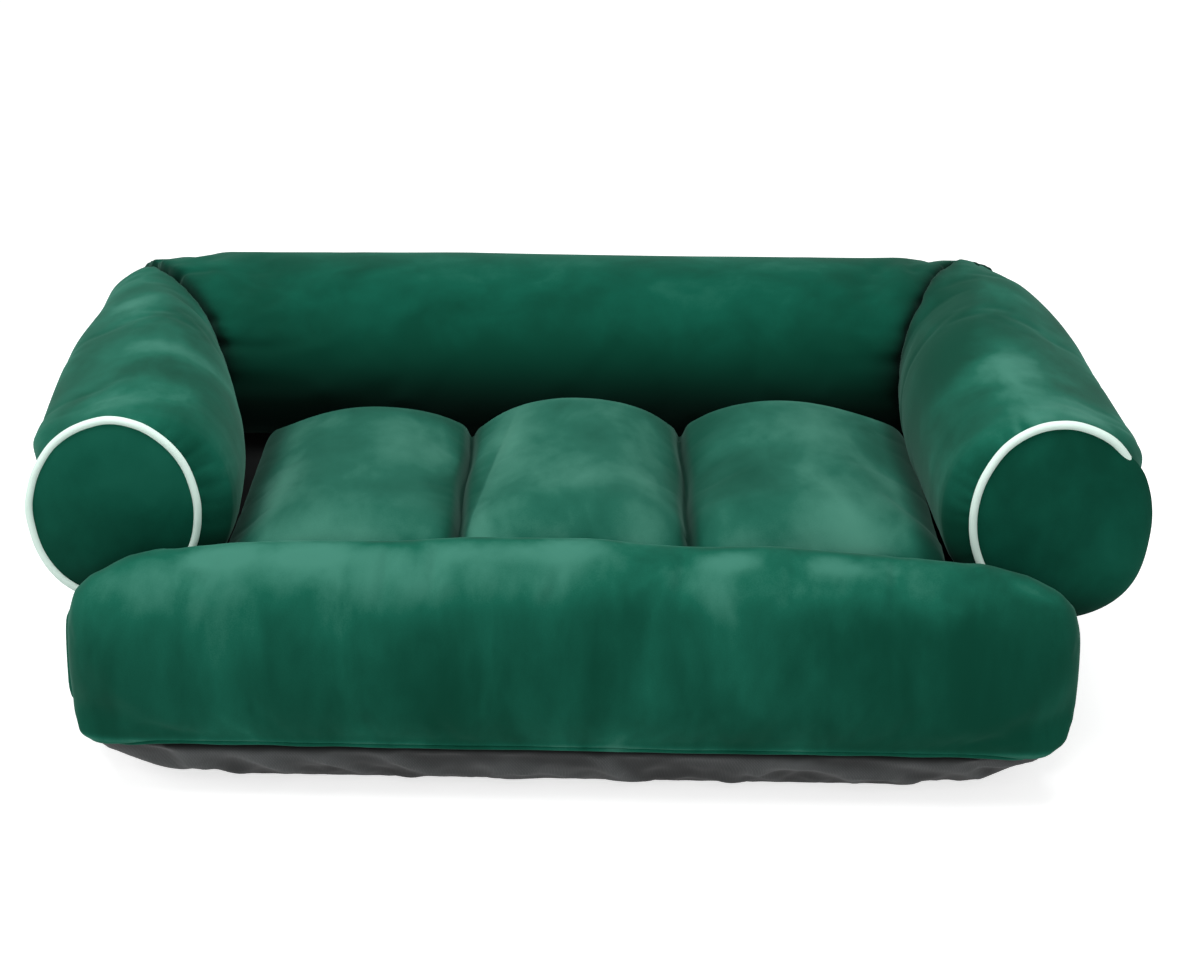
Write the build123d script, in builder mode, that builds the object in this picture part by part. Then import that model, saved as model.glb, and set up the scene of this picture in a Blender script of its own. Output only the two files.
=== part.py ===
"""A sofa-shaped pet bed: a soft base on a dark underside, a roll on each side and one across the
back that are mitred together, a fourth across the front, and a channelled cushion that lifts out
of the well between them. Millimetres, X to the right, the front at -Y, Z up, and the origin on
the floor under the middle of the bed.
"""

import os
from math import hypot

from build123d import *

os.makedirs("parts", exist_ok=True)

# Driving dimensions
bed_width = 900.0  # over the arms, where they are fullest
bed_depth = 700.0  # front roll to back roll
velvet = 2.5  # pile cloth with its backing
lining = 2.0  # dark underside cloth, deck cloth and baffles
ease = 0.3  # gap between a stuffing, or a loose piece, and what holds it
overrun = 1.0  # how far a cutting shape runs past what it cuts

# Base
base_side_inset = 42.0  # side bands, in from the arms' outermost lines
base_rear_inset = 12.0  # rear band, in from the back roll's outermost line
base_rear_corner = 60.0
underside_height = 48.0  # floor to the seam under the velvet
foam_height = 86.0
rim_front_inset = 12.0  # front of the underside's rim, in from the front roll's outermost line
side_flare = 83.0  # rim to the flat that stands on the floor, at each side
front_flare = 58.0
rear_flare = 50.0
rim_front_corner = 110.0
rim_rear_corner = 60.0
floor_corner = 95.0
underside_shares = ((0.0, 0.0), (0.30, 0.45), (0.68, 0.80), (1.0, 1.0))  # height, flare

# Front roll
front_side_inset = 49.0  # ends of the roll, in from the arms' outermost lines
front_depth = 92.0
front_height = 165.0
front_fullest = 72.0  # height of its fullest line over its foot
front_foot = 70.0
front_end = 130.0  # length of each rounded end
front_end_drop = 63.0  # how far its crest comes down at the end
front_end_lift = 48.0  # how far its foot goes up at the end
front_end_shares = (  # along the end, depth, drop, lift
    (0.0, 0.45, 1.0, 1.0),
    (0.055, 0.72, 0.65, 0.54),
    (0.15, 0.88, 0.43, 0.19),
    (0.32, 0.97, 0.22, 0.0),
    (0.60, 1.0, 0.09, 0.0),
    (1.0, 1.0, 0.0, 0.0),
)

# Arms and back
arm_width = 158.0
arm_height = 169.0
arm_foot = 64.0
arm_fullest = 84.0
arm_neck = 4.5  # how far the arm draws in at its front seam
arm_belly = 12.0  # how far it swells into the well between its two ends
arm_shares = (  # along, neck, belly
    (0.0, 1.0, 0.0),
    (0.07, 0.4, 0.5),
    (0.22, 0.05, 0.95),
    (0.4, 0.0, 1.0),
    (0.7, 0.0, 0.7),
    (1.0, 0.0, 0.0),
)
arm_setback = 7.0  # front roll to the plane of the piping
back_depth = 220.0
back_height = 171.0
corner_round = 40.0  # how far the outer side comes in at the very corner
corner_shares = ((0.5, 0.0), (0.8, 0.25), (1.0, 1.0))  # along the corner, round

# Front discs and their piping
piping_diameter = 7.0
piping_cord_diameter = 4.4
disc_side_inset = 6.0  # the piping's middle line, in from the arm's two sides
disc_top_inset = 4.5  # and from its foot and crown, about its middle
disc_crown = 4.5
disc_shares = ((0.0, 1.0), (0.5, 0.86), (0.86, 0.56), (1.0, 0.26))  # crown, size

# Cushion
channels = 3
cushion_gap = 3.0  # to the arms and the front roll
cushion_rear_gap = 7.0  # to the back roll, with room for the zip
cushion_crown = 78.0
cushion_valley = 50.0
cushion_shoulder = 46.0
cushion_tuck = 7.0  # how far its foot and shoulder lie inside its fullest line
cushion_seam = 6.0  # height of the seam between its top and bottom covers
cushion_end_height = 30.0
cushion_end_valley = 27.0
cushion_end_shoulder = 25.0
cushion_end_draw = 12.0  # how much narrower it is at its ends, on each side
cushion_end = 66.0  # length of each rounded end
cushion_end_shares = (  # along the end, height, draw
    (0.0, 0.0, 1.0),
    (0.10, 0.46, 0.5),
    (0.38, 0.80, 0.1),
    (1.0, 1.0, 0.0),
)

# Zips
coil_width = 5.0
coil_thickness = 2.2
coil_corner = 0.7
tape_width = 10.0
tape_thickness = 1.0
slot_height = 13.0  # opening in the cloth that shows the coil
slot_margin = 4.0  # slot past each end of the coil
stop_length = 2.5
stop_width = 6.4
stop_thickness = 3.0
slider_length = 12.0
slider_width = 9.0
slider_plate = 1.4
slider_gap = 0.4
bar_radius = 0.85
bar_height = 1.8  # the pull's bar over the slider's plate
bridge_gap = 0.4
bridge_wall = 1.1
bridge_width = 2.0
pull_width = 5.6
pull_thickness = 1.1
pull_rail = 1.4
pull_window = 3.6
pull_corner = 2.0
base_zip_margin = 108.0  # side band to the end of the zip
base_pull_length = 24.0
cushion_zip_margin = 57.0  # cushion's side to the end of the zip
cushion_pull_length = 15.0

# Places that follow from the sizes
deck_level = underside_height + foam_height + lining
front_face = -bed_depth / 2
front_back = front_face + front_depth
base_front = front_back + ease
base_rear = bed_depth / 2 - base_rear_inset
back_face = bed_depth / 2 - back_depth
well_half = bed_width / 2 - arm_width
base_half = bed_width / 2 - base_side_inset
disc_half_width = arm_width / 2 - disc_side_inset  # to the piping's middle line
disc_half_height = arm_height / 2 - disc_top_inset
piping_plane = front_back + arm_setback
arm_front = piping_plane + piping_diameter / 2 + ease
disc_across = well_half + arm_width / 2
disc_level = deck_level + ease + piping_diameter / 2 + disc_half_height
cushion_level = deck_level + ease
cushion_half = well_half - arm_belly - cushion_gap
cushion_front = front_back + cushion_gap
cushion_rear = back_face - cushion_rear_gap
base_zip_level = underside_height + foam_height / 2
base_zip_length = 2 * (base_half - base_zip_margin)
cushion_zip_level = cushion_level + cushion_end_valley / 2
cushion_zip_length = 2 * (cushion_half - cushion_zip_margin)
right_mitre = Plane(
    origin=(well_half, back_face, 0), x_dir=(0, 0, 1), z_dir=(back_depth, -arm_width, 0)
)
left_mitre = Plane(
    origin=(-well_half, back_face, 0), x_dir=(0, 0, 1), z_dir=(-back_depth, -arm_width, 0)
)


def save(piece, name):
    """Labels a finished piece and writes it under its name."""
    piece.part.label = name
    export_step(piece.part, f"parts/{name}.step")


def oval_shoulder(half_width, half_height):
    """Where the side arc and the end arc of a four-centre oval meet, from its middle."""
    diagonal = hypot(half_width, half_height)
    side_radius = (diagonal - half_width + half_height) / 2 * diagonal / half_width
    across = half_width - side_radius + side_radius * half_height / diagonal
    return across, side_radius * half_width / diagonal


def oval(plane, across, up, half_width, half_height):
    """An upright oval of four tangent arcs."""
    out, rise = oval_shoulder(half_width, half_height)
    with BuildSketch(plane) as sketch:
        with BuildLine():
            for side in (-1, 1):
                ThreePointArc(
                    (across + side * out, up - rise),
                    (across + side * half_width, up),
                    (across + side * out, up + rise),
                )
                ThreePointArc(
                    (across - out, up + side * rise),
                    (across, up + side * half_height),
                    (across + out, up + side * rise),
                )
        make_face()
    return sketch.sketch


def roll_section(plane, across, half_width, foot, floor, fullest, top, inset):
    """Section of a stuffed roll: a flat foot, sides that swell to the fullest line, and a crown.

    Inset draws the whole section in, for the hollow of a cover or for its stuffing.
    """
    half = half_width - inset
    sole = foot / 2 - inset
    low = floor + inset
    high = top - inset
    out, rise = oval_shoulder(half, high - fullest)
    with BuildSketch(plane) as sketch:
        with BuildLine():
            Line((across - sole, low), (across + sole, low))
            for side in (-1, 1):
                widest = (across + side * half, fullest)
                TangentArc(widest, (across + side * sole, low), tangent=(0, -1))
                TangentArc(widest, (across + side * out, fullest + rise), tangent=(0, 1))
            ThreePointArc(
                (across - out, fullest + rise), (across, high), (across + out, fullest + rise)
            )
        make_face()
    return sketch.sketch


# Dark underside: a shallow dish of cloth over a pad of fibre
def underside_sections(inset):
    """Rounded rectangles from the floor up to the rim, all drawn in by the inset."""
    sections = []
    for height, flare in underside_shares:
        level = max(underside_height * height, inset)
        half = base_half - side_flare * (1 - flare) - inset
        front = front_face + rim_front_inset + front_flare * (1 - flare) + inset
        rear = base_rear - rear_flare * (1 - flare) - inset
        front_corner = floor_corner + (rim_front_corner - floor_corner) * flare
        rear_corner = floor_corner + (rim_rear_corner - floor_corner) * flare
        plane = Plane((0, (front + rear) / 2, level))
        with BuildSketch(plane) as sketch:
            Rectangle(2 * half, rear - front)
            fillet(sketch.vertices().group_by(Axis.Y)[0], front_corner - inset)
            fillet(sketch.vertices().group_by(Axis.Y)[-1], rear_corner - inset)
        sections.append(sketch.sketch)
    return sections


underside_outside = underside_sections(0)
underside_hollow = underside_sections(lining)
underside_stuffing = underside_sections(lining + ease)

with BuildPart() as underside_cloth:
    loft(underside_outside, ruled=True)
    loft(underside_hollow, ruled=True, mode=Mode.SUBTRACT)
save(underside_cloth, "underside_cloth")

with BuildPart() as underside_pad:
    loft(underside_stuffing, ruled=True)
save(underside_pad, "underside_pad")


# Foam block, deck cloth on top of it, and the velvet bands round its sides
def base_plan(level, inset, rear_inset, front):
    """Plan of the base, square at the front and rounded at its two rear corners."""
    half = base_half - inset
    rear = base_rear - rear_inset
    with BuildSketch(Plane.XY.offset(level)) as sketch:
        with Locations((0, (front + rear) / 2)):
            Rectangle(2 * half, rear - front)
        fillet(sketch.vertices().group_by(Axis.Y)[-1], base_rear_corner - inset)
    return sketch.sketch


core_inset = velvet + ease
core_rear_inset = velvet + tape_thickness + ease

foam_plan = base_plan(underside_height, core_inset, core_rear_inset, base_front)
deck_plan = base_plan(underside_height + foam_height, core_inset, core_rear_inset, base_front)
wall_plan = base_plan(underside_height, 0, 0, base_front)
wall_hollow = base_plan(underside_height, velvet, velvet, base_front - overrun)

with BuildPart() as base_foam:
    extrude(foam_plan, foam_height)
save(base_foam, "base_foam")

with BuildPart() as deck_cloth:
    extrude(deck_plan, lining)
save(deck_cloth, "deck_cloth")

with BuildPart() as band_wall:
    extrude(wall_plan, foam_height + lining)
    extrude(wall_hollow, foam_height + lining, mode=Mode.SUBTRACT)

band_seam = Plane.XZ.offset(-(base_rear - base_rear_corner))

with BuildPart() as rear_band:
    add(band_wall.part)
    split(bisect_by=band_seam, keep=Keep.BOTTOM)
    with BuildSketch(Plane.XZ.offset(-base_rear + velvet + overrun)):
        with Locations((0, base_zip_level)):
            Rectangle(base_zip_length + 2 * slot_margin, slot_height)
    extrude(amount=-(velvet + 2 * overrun), mode=Mode.SUBTRACT)
save(rear_band, "rear_band")

for name, keep in (("right_side_band", Keep.TOP), ("left_side_band", Keep.BOTTOM)):
    with BuildPart() as side_band:
        add(band_wall.part)
        split(bisect_by=band_seam, keep=Keep.TOP)
        split(bisect_by=Plane.YZ, keep=keep)
    save(side_band, name)


# Front roll
def front_sections(inset):
    """Sections of the front roll from its left end to its right end."""
    half_length = bed_width / 2 - front_side_inset - inset
    stations = [(half_length - front_end * share[0], share) for share in front_end_shares]
    left_end = [(-along, share) for along, share in stations]
    sections = []
    for along, (_, depth, drop, lift) in left_end + stations[::-1]:
        section = roll_section(
            Plane.YZ.offset(along),
            (front_face + front_back) / 2,
            front_depth / 2 * depth,
            front_foot * depth,
            underside_height + front_end_lift * lift,
            underside_height + front_fullest,
            underside_height + front_height - front_end_drop * drop,
            inset,
        )
        sections.append(section)
    return sections


front_outside = front_sections(0)
front_hollow = front_sections(velvet)
front_stuffing = front_sections(velvet + ease)

with BuildPart() as front_cover:
    loft(front_outside, ruled=True)
    loft(front_hollow, ruled=True, mode=Mode.SUBTRACT)
save(front_cover, "front_bolster_cover")

with BuildPart() as front_filling:
    loft(front_stuffing, ruled=True)
save(front_filling, "front_bolster_filling")


# Arms, made on the right and mirrored to the left
def arm_section(along, neck, belly, corner, inset):
    """One upright section across the right arm."""
    inner = well_half + arm_neck * neck - arm_belly * belly
    outer = bed_width / 2 - arm_neck * neck - corner_round * corner
    return roll_section(
        Plane.XZ.offset(-along),
        (inner + outer) / 2,
        (outer - inner) / 2,
        arm_foot,
        deck_level,
        deck_level + arm_fullest,
        deck_level + arm_height - arm_neck * neck,
        inset,
    )


def arm_sections(front, inset):
    """Sections of the right arm from its front seam back through the corner."""
    straight = back_face - front
    sections = [
        arm_section(front + straight * place, neck, belly, 0, inset)
        for place, neck, belly in arm_shares
    ]
    corner = [
        arm_section(back_face + back_depth * place, 0, 0, share, inset)
        for place, share in corner_shares
    ]
    return sections + corner


arm_outside = arm_sections(arm_front, 0)
arm_hollow = arm_sections(arm_front - overrun, velvet)
arm_stuffing = arm_sections(arm_front, velvet + ease)

with BuildPart() as right_arm_cover:
    loft(arm_outside, ruled=True)
    loft(arm_hollow, ruled=True, mode=Mode.SUBTRACT)
    split(bisect_by=right_mitre, keep=Keep.TOP)
save(right_arm_cover, "right_arm_cover")

with BuildPart() as right_arm_filling:
    loft(arm_stuffing, ruled=True)
    split(bisect_by=right_mitre, keep=Keep.TOP)
save(right_arm_filling, "right_arm_filling")


def piping_ring(diameter):
    """A round ring, swept once along the four arcs of the disc's outline."""
    out, rise = oval_shoulder(disc_half_width, disc_half_height)
    shoulders = [(out, -rise), (out, rise), (-out, rise), (-out, -rise), (out, -rise)]
    ends = [(disc_half_width, 0), (0, disc_half_height), (-disc_half_width, 0), (0, -disc_half_height)]
    with BuildPart() as ring:
        with BuildLine(Plane.XZ.offset(-piping_plane)) as path:
            for start, end, stop in zip(shoulders, ends, shoulders[1:]):
                points = [(disc_across + x, disc_level + z) for x, z in (start, end, stop)]
                ThreePointArc(*points)
        with BuildSketch(Plane(path.wire() @ 0, z_dir=path.wire() % 0)):
            Circle(diameter / 2)
        sweep()
    return ring.part


piping_round = piping_ring(piping_diameter)
piping_bore = piping_ring(piping_cord_diameter + 2 * ease)
cord_round = piping_ring(piping_cord_diameter)

with BuildPart() as right_piping:
    add(piping_round)
    add(piping_bore, mode=Mode.SUBTRACT)
save(right_piping, "right_arm_piping")

with BuildPart() as right_cord:
    add(cord_round)
save(right_cord, "right_piping_cord")


def disc_dome(start, inset):
    """The crowned front of a disc, from its edge plane forwards."""
    half_width = disc_half_width - piping_diameter / 2 - ease - inset
    half_height = disc_half_height - piping_diameter / 2 - ease - inset
    return [
        oval(
            Plane.XZ.offset(-start + disc_crown * crown),
            disc_across,
            disc_level,
            half_width * size,
            half_height * size,
        )
        for crown, size in disc_shares
    ]


disc_edge = disc_dome(piping_plane + velvet, 0)[0]
disc_outside = disc_dome(piping_plane, 0)
disc_hollow = disc_dome(piping_plane + velvet, velvet)

with BuildPart() as right_disc:
    extrude(disc_edge, velvet)
    loft(disc_outside, ruled=True)
    loft(disc_hollow, ruled=True, mode=Mode.SUBTRACT)
save(right_disc, "right_arm_disc")

for right_piece, name in (
    (right_arm_cover, "left_arm_cover"),
    (right_arm_filling, "left_arm_filling"),
    (right_piping, "left_arm_piping"),
    (right_cord, "left_piping_cord"),
    (right_disc, "left_arm_disc"),
):
    with BuildPart() as left_piece:
        mirror(right_piece.part, about=Plane.YZ)
    save(left_piece, name)


# Back roll, mitred to the arms
def back_section(along, corner, inset):
    """One upright section across the back roll, the same in shape as the arm's where they meet."""
    rear = bed_depth / 2 - corner_round * back_depth / arm_width * corner
    return roll_section(
        Plane.YZ.offset(along),
        (back_face + rear) / 2,
        (rear - back_face) / 2,
        arm_foot * back_depth / arm_width,
        deck_level,
        deck_level + arm_fullest,
        deck_level + (back_height if abs(along) < well_half else arm_height),
        inset,
    )


def back_sections(inset):
    """Sections of the back roll from the left corner to the right one."""
    corner = [(well_half + arm_width * place, share) for place, share in corner_shares]
    right_half = [(well_half / 2, 0), (well_half, 0)] + corner
    left_half = [(-along, share) for along, share in right_half[::-1]]
    return [back_section(along, share, inset) for along, share in left_half + [(0, 0)] + right_half]


back_outside = back_sections(0)
back_hollow = back_sections(velvet)
back_stuffing = back_sections(velvet + ease)

with BuildPart() as back_cover:
    loft(back_outside, ruled=True)
    loft(back_hollow, ruled=True, mode=Mode.SUBTRACT)
    split(bisect_by=right_mitre, keep=Keep.BOTTOM)
    split(bisect_by=left_mitre, keep=Keep.BOTTOM)
save(back_cover, "back_bolster_cover")

with BuildPart() as back_filling:
    loft(back_stuffing, ruled=True)
    split(bisect_by=right_mitre, keep=Keep.BOTTOM)
    split(bisect_by=left_mitre, keep=Keep.BOTTOM)
save(back_filling, "back_bolster_filling")


# Cushion with its channels
def cushion_section(along, height, draw, inset):
    """One upright section across the cushion: flat below, one crown to each channel above."""
    half = cushion_half - cushion_end_draw * draw - inset
    tuck = cushion_tuck
    low = cushion_level + inset
    crown = cushion_end_height + (cushion_crown - cushion_end_height) * height
    valley = cushion_end_valley + (cushion_valley - cushion_end_valley) * height
    shoulder = cushion_end_shoulder + (cushion_shoulder - cushion_end_shoulder) * height
    high = cushion_level + crown - inset
    lobe = 2 * half / channels
    seams = [(-half + tuck, cushion_level + shoulder - inset)]
    for channel in range(1, channels):
        seams.append((-half + lobe * channel, cushion_level + valley - inset))
    seams.append((half - tuck, cushion_level + shoulder - inset))
    with BuildSketch(Plane.XZ.offset(-along)) as sketch:
        with BuildLine():
            Line((-half + tuck, low), (half - tuck, low))
            for side in (-1, 1):
                ThreePointArc(
                    (side * (half - tuck), low),
                    (side * half, cushion_level + shoulder / 2),
                    (side * (half - tuck), cushion_level + shoulder - inset),
                )
            for left, right in zip(seams, seams[1:]):
                ThreePointArc(left, ((left[0] + right[0]) / 2, high), right)
        make_face()
    return sketch.sketch


def cushion_sections(inset, rear_inset):
    """Sections of the cushion from its front to its rear."""
    front = cushion_front + inset
    rear = cushion_rear - rear_inset
    front_end = [
        cushion_section(front + cushion_end * along, height, draw, inset)
        for along, height, draw in cushion_end_shares
    ]
    rear_end = [
        cushion_section(rear - cushion_end * along, height, draw, inset)
        for along, height, draw in cushion_end_shares[::-1]
    ]
    middle = cushion_section((front + rear) / 2, 1, 0, inset)
    return front_end + [middle] + rear_end


cushion_outside = cushion_sections(0, 0)
cushion_hollow = cushion_sections(velvet, velvet)
cushion_stuffing = cushion_sections(core_inset, core_rear_inset)
cushion_seam_plane = Plane.XY.offset(cushion_level + cushion_seam)

for name, keep in (("cushion_top_cover", Keep.TOP), ("cushion_bottom_cover", Keep.BOTTOM)):
    with BuildPart() as cushion_cover:
        loft(cushion_outside, ruled=True)
        loft(cushion_hollow, ruled=True, mode=Mode.SUBTRACT)
        with BuildSketch(Plane.XZ.offset(-cushion_rear + velvet + overrun)):
            with Locations((0, cushion_zip_level)):
                Rectangle(cushion_zip_length + 2 * slot_margin, slot_height)
        extrude(amount=-(velvet + 2 * overrun), mode=Mode.SUBTRACT)
        split(bisect_by=cushion_seam_plane, keep=keep)
    save(cushion_cover, name)

valleys = [
    -cushion_half + 2 * cushion_half * channel / channels for channel in range(1, channels)
]
baffle_names = ("left_cushion_baffle", "right_cushion_baffle")
for valley, name in zip(valleys, baffle_names):
    with BuildPart() as baffle:
        loft(cushion_stuffing, ruled=True)
        split(bisect_by=Plane.YZ.offset(valley - lining / 2), keep=Keep.TOP)
        split(bisect_by=Plane.YZ.offset(valley + lining / 2), keep=Keep.BOTTOM)
    save(baffle, name)

filling_names = ("left_cushion_filling", "middle_cushion_filling", "right_cushion_filling")
walls = [-cushion_half] + valleys + [cushion_half]
for left, right, name in zip(walls, walls[1:], filling_names):
    with BuildPart() as filling:
        loft(cushion_stuffing, ruled=True)
        split(bisect_by=Plane.YZ.offset(left + lining / 2 + ease), keep=Keep.TOP)
        split(bisect_by=Plane.YZ.offset(right - lining / 2 - ease), keep=Keep.BOTTOM)
    save(filling, name)


# Zips: each lies in a slot in a rear wall and closes towards +X
def make_zip(prefix, wall_face, level, length, pull_length):
    """Writes the tapes, coil, stops, slider and pull of one zip."""
    tape_face = wall_face - velvet
    coil_face = tape_face + coil_thickness
    plate_back = coil_face + slider_gap
    plate_face = plate_back + slider_plate
    slider_middle = length / 2 - slider_length / 2 - slider_gap
    bar_level = plate_face + bar_height
    bar_plane = Plane((slider_middle, bar_level, level), x_dir=(1, 0, 0), z_dir=(0, 0, 1))

    with BuildPart() as tapes:
        with BuildSketch(Plane.XZ.offset(-tape_face)):
            for side in (-1, 1):
                with Locations((0, level + side * (tape_width + ease) / 2)):
                    Rectangle(length + 2 * slot_margin, tape_width)
        extrude(amount=tape_thickness, dir=(0, -1, 0))
    save(tapes, f"{prefix}_zip_tapes")

    with BuildPart() as coil:
        with BuildSketch(Plane.XZ.offset(-tape_face)):
            with Locations((0, level)):
                Rectangle(length, coil_width)
        extrude(amount=coil_thickness, dir=(0, 1, 0))
        long_edges = coil.edges().filter_by(Axis.X).group_by(Axis.Y)[-1]
        fillet(long_edges, coil_corner)
    save(coil, f"{prefix}_zip_coil")

    with BuildPart() as stops:
        with BuildSketch(Plane.XZ.offset(-tape_face)):
            for side in (-1, 1):
                with Locations((side * (length + stop_length) / 2, level)):
                    Rectangle(stop_length, stop_width)
        extrude(amount=stop_thickness, dir=(0, 1, 0))
    save(stops, f"{prefix}_zip_stops")

    with BuildPart() as slider:
        with BuildSketch(Plane.YZ.offset(slider_middle - slider_length / 2)):
            with Locations(((tape_face + ease + plate_face) / 2, level)):
                Rectangle(plate_face - tape_face - ease, slider_width)
            channel_depth = plate_back - tape_face - ease
            with Locations((tape_face + ease + channel_depth / 2 - overrun / 2, level)):
                Rectangle(
                    channel_depth + overrun, coil_width + 2 * slider_gap, mode=Mode.SUBTRACT
                )
        extrude(amount=slider_length)
        bridge_inner = bar_radius + bridge_gap
        bridge_outer = bridge_inner + bridge_wall
        with BuildSketch(bar_plane.offset(-bridge_width / 2)):
            Circle(bridge_outer)
            with Locations((0, -bar_height / 2)):
                Rectangle(2 * bridge_outer, bar_height)
                Rectangle(2 * bridge_inner, bar_height, mode=Mode.SUBTRACT)
            Circle(bridge_inner, mode=Mode.SUBTRACT)
        extrude(amount=bridge_width)
    save(slider, f"{prefix}_zip_slider")

    with BuildPart() as pull:
        with BuildSketch(Plane.XZ.offset(-bar_level + pull_thickness / 2)):
            with Locations((slider_middle - pull_length / 2, level)):
                Rectangle(pull_length, pull_width)
            with Locations((slider_middle - pull_window / 2, level)):
                Rectangle(pull_window, pull_width - 2 * pull_rail, mode=Mode.SUBTRACT)
        extrude(amount=-pull_thickness)
        tip_edges = pull.edges().filter_by(Axis.Y).group_by(Axis.X)[0]
        fillet(tip_edges, pull_corner)
        with BuildSketch(bar_plane.offset(-pull_width / 2)):
            Circle(bar_radius)
        extrude(amount=pull_width)
    save(pull, f"{prefix}_zip_pull")
    print(f"{prefix} pull hinge at", slider_middle, bar_level, level)
    print(f"{prefix} slider travel", length - slider_length - 2 * slider_gap)


make_zip("base", base_rear, base_zip_level, base_zip_length, base_pull_length)
make_zip("cushion", cushion_rear, cushion_zip_level, cushion_zip_length, cushion_pull_length)
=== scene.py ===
# %% [markdown]
# # A velvet sofa bed for pets
# The bed is four stuffed rolls round a channelled cushion, on a dark cloth underside. The packed
# model gives every place and size, and this lesson dresses it: each roll, the cushion and the
# underside are plumped up as stuffed cloth, and then get their seams, gathers and pile.
# A piece sits where its solid sits. Only its outline is drawn to given lines afterwards, because no
# sewn bed is quite even.

# %% Start with the imported model
from math import cos, hypot, pi, radians, sin

import bpy
import numpy as np
from mathutils import Matrix, Vector


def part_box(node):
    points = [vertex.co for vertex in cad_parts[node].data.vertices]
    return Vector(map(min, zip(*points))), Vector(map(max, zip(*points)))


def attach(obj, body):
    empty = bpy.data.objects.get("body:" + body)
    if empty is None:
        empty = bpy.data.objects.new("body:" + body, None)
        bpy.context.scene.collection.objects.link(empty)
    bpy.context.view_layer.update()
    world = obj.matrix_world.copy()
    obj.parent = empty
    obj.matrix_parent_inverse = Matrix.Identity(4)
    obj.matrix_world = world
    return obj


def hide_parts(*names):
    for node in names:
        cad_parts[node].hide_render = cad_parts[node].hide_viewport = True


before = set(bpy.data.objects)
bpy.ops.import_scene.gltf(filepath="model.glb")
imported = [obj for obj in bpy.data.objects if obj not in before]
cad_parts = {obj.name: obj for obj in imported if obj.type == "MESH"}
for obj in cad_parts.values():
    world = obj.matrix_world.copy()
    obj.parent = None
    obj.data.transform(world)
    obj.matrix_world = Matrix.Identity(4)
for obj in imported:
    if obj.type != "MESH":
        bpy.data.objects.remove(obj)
bpy.ops.object.select_all(action="DESELECT")
scene = bpy.context.scene
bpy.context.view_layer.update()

# %% [markdown]
# ## The camera
# The bed is seen from straight in front and about 18 degrees above, from two and a half metres
# away, so its sides converge little. A long lens gives that. A turn about the line of sight
# makes the right side sit a little lower than the left one.

# %% Place the camera
LENS = 85.5
DISTANCE = 2.475
ELEVATION, TILT = radians(18.1), radians(0.95)
AIM = Vector((0.011, 0.0, 0.1655))

bpy.ops.object.camera_add()
camera = bpy.context.object
camera.data.lens = LENS
camera.data.sensor_width = 36.0
backwards = Vector((0.0, -cos(ELEVATION), sin(ELEVATION)))
camera.location = AIM + backwards * DISTANCE
camera.rotation_mode = "QUATERNION"
level_view = (-backwards).to_track_quat("-Z", "Y")
camera.rotation_quaternion = level_view @ Matrix.Rotation(TILT, 3, "Z").to_quaternion()
scene.camera = camera
scene.view_settings.view_transform = "Standard"

# %% [markdown]
# ## Floor and light
# The bed stands on a seamless white floor under soft boxes. The floor is a pale plane that
# catches the shadow; what the camera sees of it is lifted to white, and what the bed sees of it
# stays an ordinary pale floor, so its light on the bed does not change.

# %% Floor and lamps
bpy.ops.mesh.primitive_plane_add(size=12.0)
floor = bpy.context.object
floor.name = "floor"
LAMP_AIM = Vector((0.0, 0.0, 0.2))


def add_lamp(name, place, size, watts):
    """A large soft box at a place, turned to the bed's middle."""
    bpy.ops.object.light_add(type="AREA", location=place)
    lamp = bpy.context.object
    lamp.name = name
    lamp.data.shape = "RECTANGLE"
    lamp.data.size, lamp.data.size_y = size
    lamp.data.energy = watts
    lamp.rotation_mode = "QUATERNION"
    lamp.rotation_quaternion = (LAMP_AIM - Vector(place)).to_track_quat("-Z", "Y")


add_lamp("soft_box_over", (-0.3, -0.5, 2.4), (2.2, 1.6), 54.0)
add_lamp("soft_box_front", (0.5, -2.6, 1.3), (2.0, 1.2), 15.0)
add_lamp("soft_box_left", (-2.2, -0.8, 1.2), (1.0, 1.2), 12.0)

# %% [markdown]
# ## Tools for the materials
# Each finish is a small tree of nodes. A few helpers keep them readable: one adds a node with its
# values, another joins sockets by name or number. Patterns read the object's own coordinates, in
# metres, so that they keep their real size and stay on the cloth when the cushion is lifted.

# %% Node helpers
FIRST, SECOND, MIXED = 6, 7, 2  # the sockets of a Mix node's two colours, and of what it gives


def set_inputs(node, values):
    """Gives values to a node's inputs, by name or by number."""
    for label, value in values.items():
        key = label.replace("_", " ") if isinstance(label, str) else label
        node.inputs[key].default_value = value


def add_node(tree, kind, numbered=None, **values):
    """A node of a kind; values name its properties or inputs, numbered gives inputs by number."""
    node = tree.nodes.new(kind)
    for name, value in values.items():
        if hasattr(node, name):
            setattr(node, name, value)
        else:
            set_inputs(node, {name: value})
    set_inputs(node, numbered or {})
    return node


def add_math(tree, operation, factor=0.5):
    """A calculation; factor is its second value."""
    return add_node(tree, "ShaderNodeMath", {1: factor}, operation=operation)


def add_noise(tree, scale, detail, roughness=0.5, distortion=0.0):
    """Cloudy noise; scale is how many clouds fit in a metre."""
    return add_node(
        tree, "ShaderNodeTexNoise", Scale=scale, Detail=detail, Roughness=roughness,
        Distortion=distortion,
    )


def mix_colors(tree, numbered=None):
    """A mix of two colours."""
    return add_node(tree, "ShaderNodeMix", numbered, data_type="RGBA")


def join(tree, *pairs):
    """Links (node, output) to (node, input) pairs."""
    for start, end in pairs:
        tree.links.new(start[0].outputs[start[1]], end[0].inputs[end[1]])


def new_material(name, **values):
    """A material, its tree and its Principled shader, whose inputs get the values."""
    material = bpy.data.materials.new(name)
    material.use_nodes = True
    shader = material.node_tree.nodes["Principled BSDF"]
    set_inputs(shader, values)
    return material, material.node_tree, shader


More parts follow.
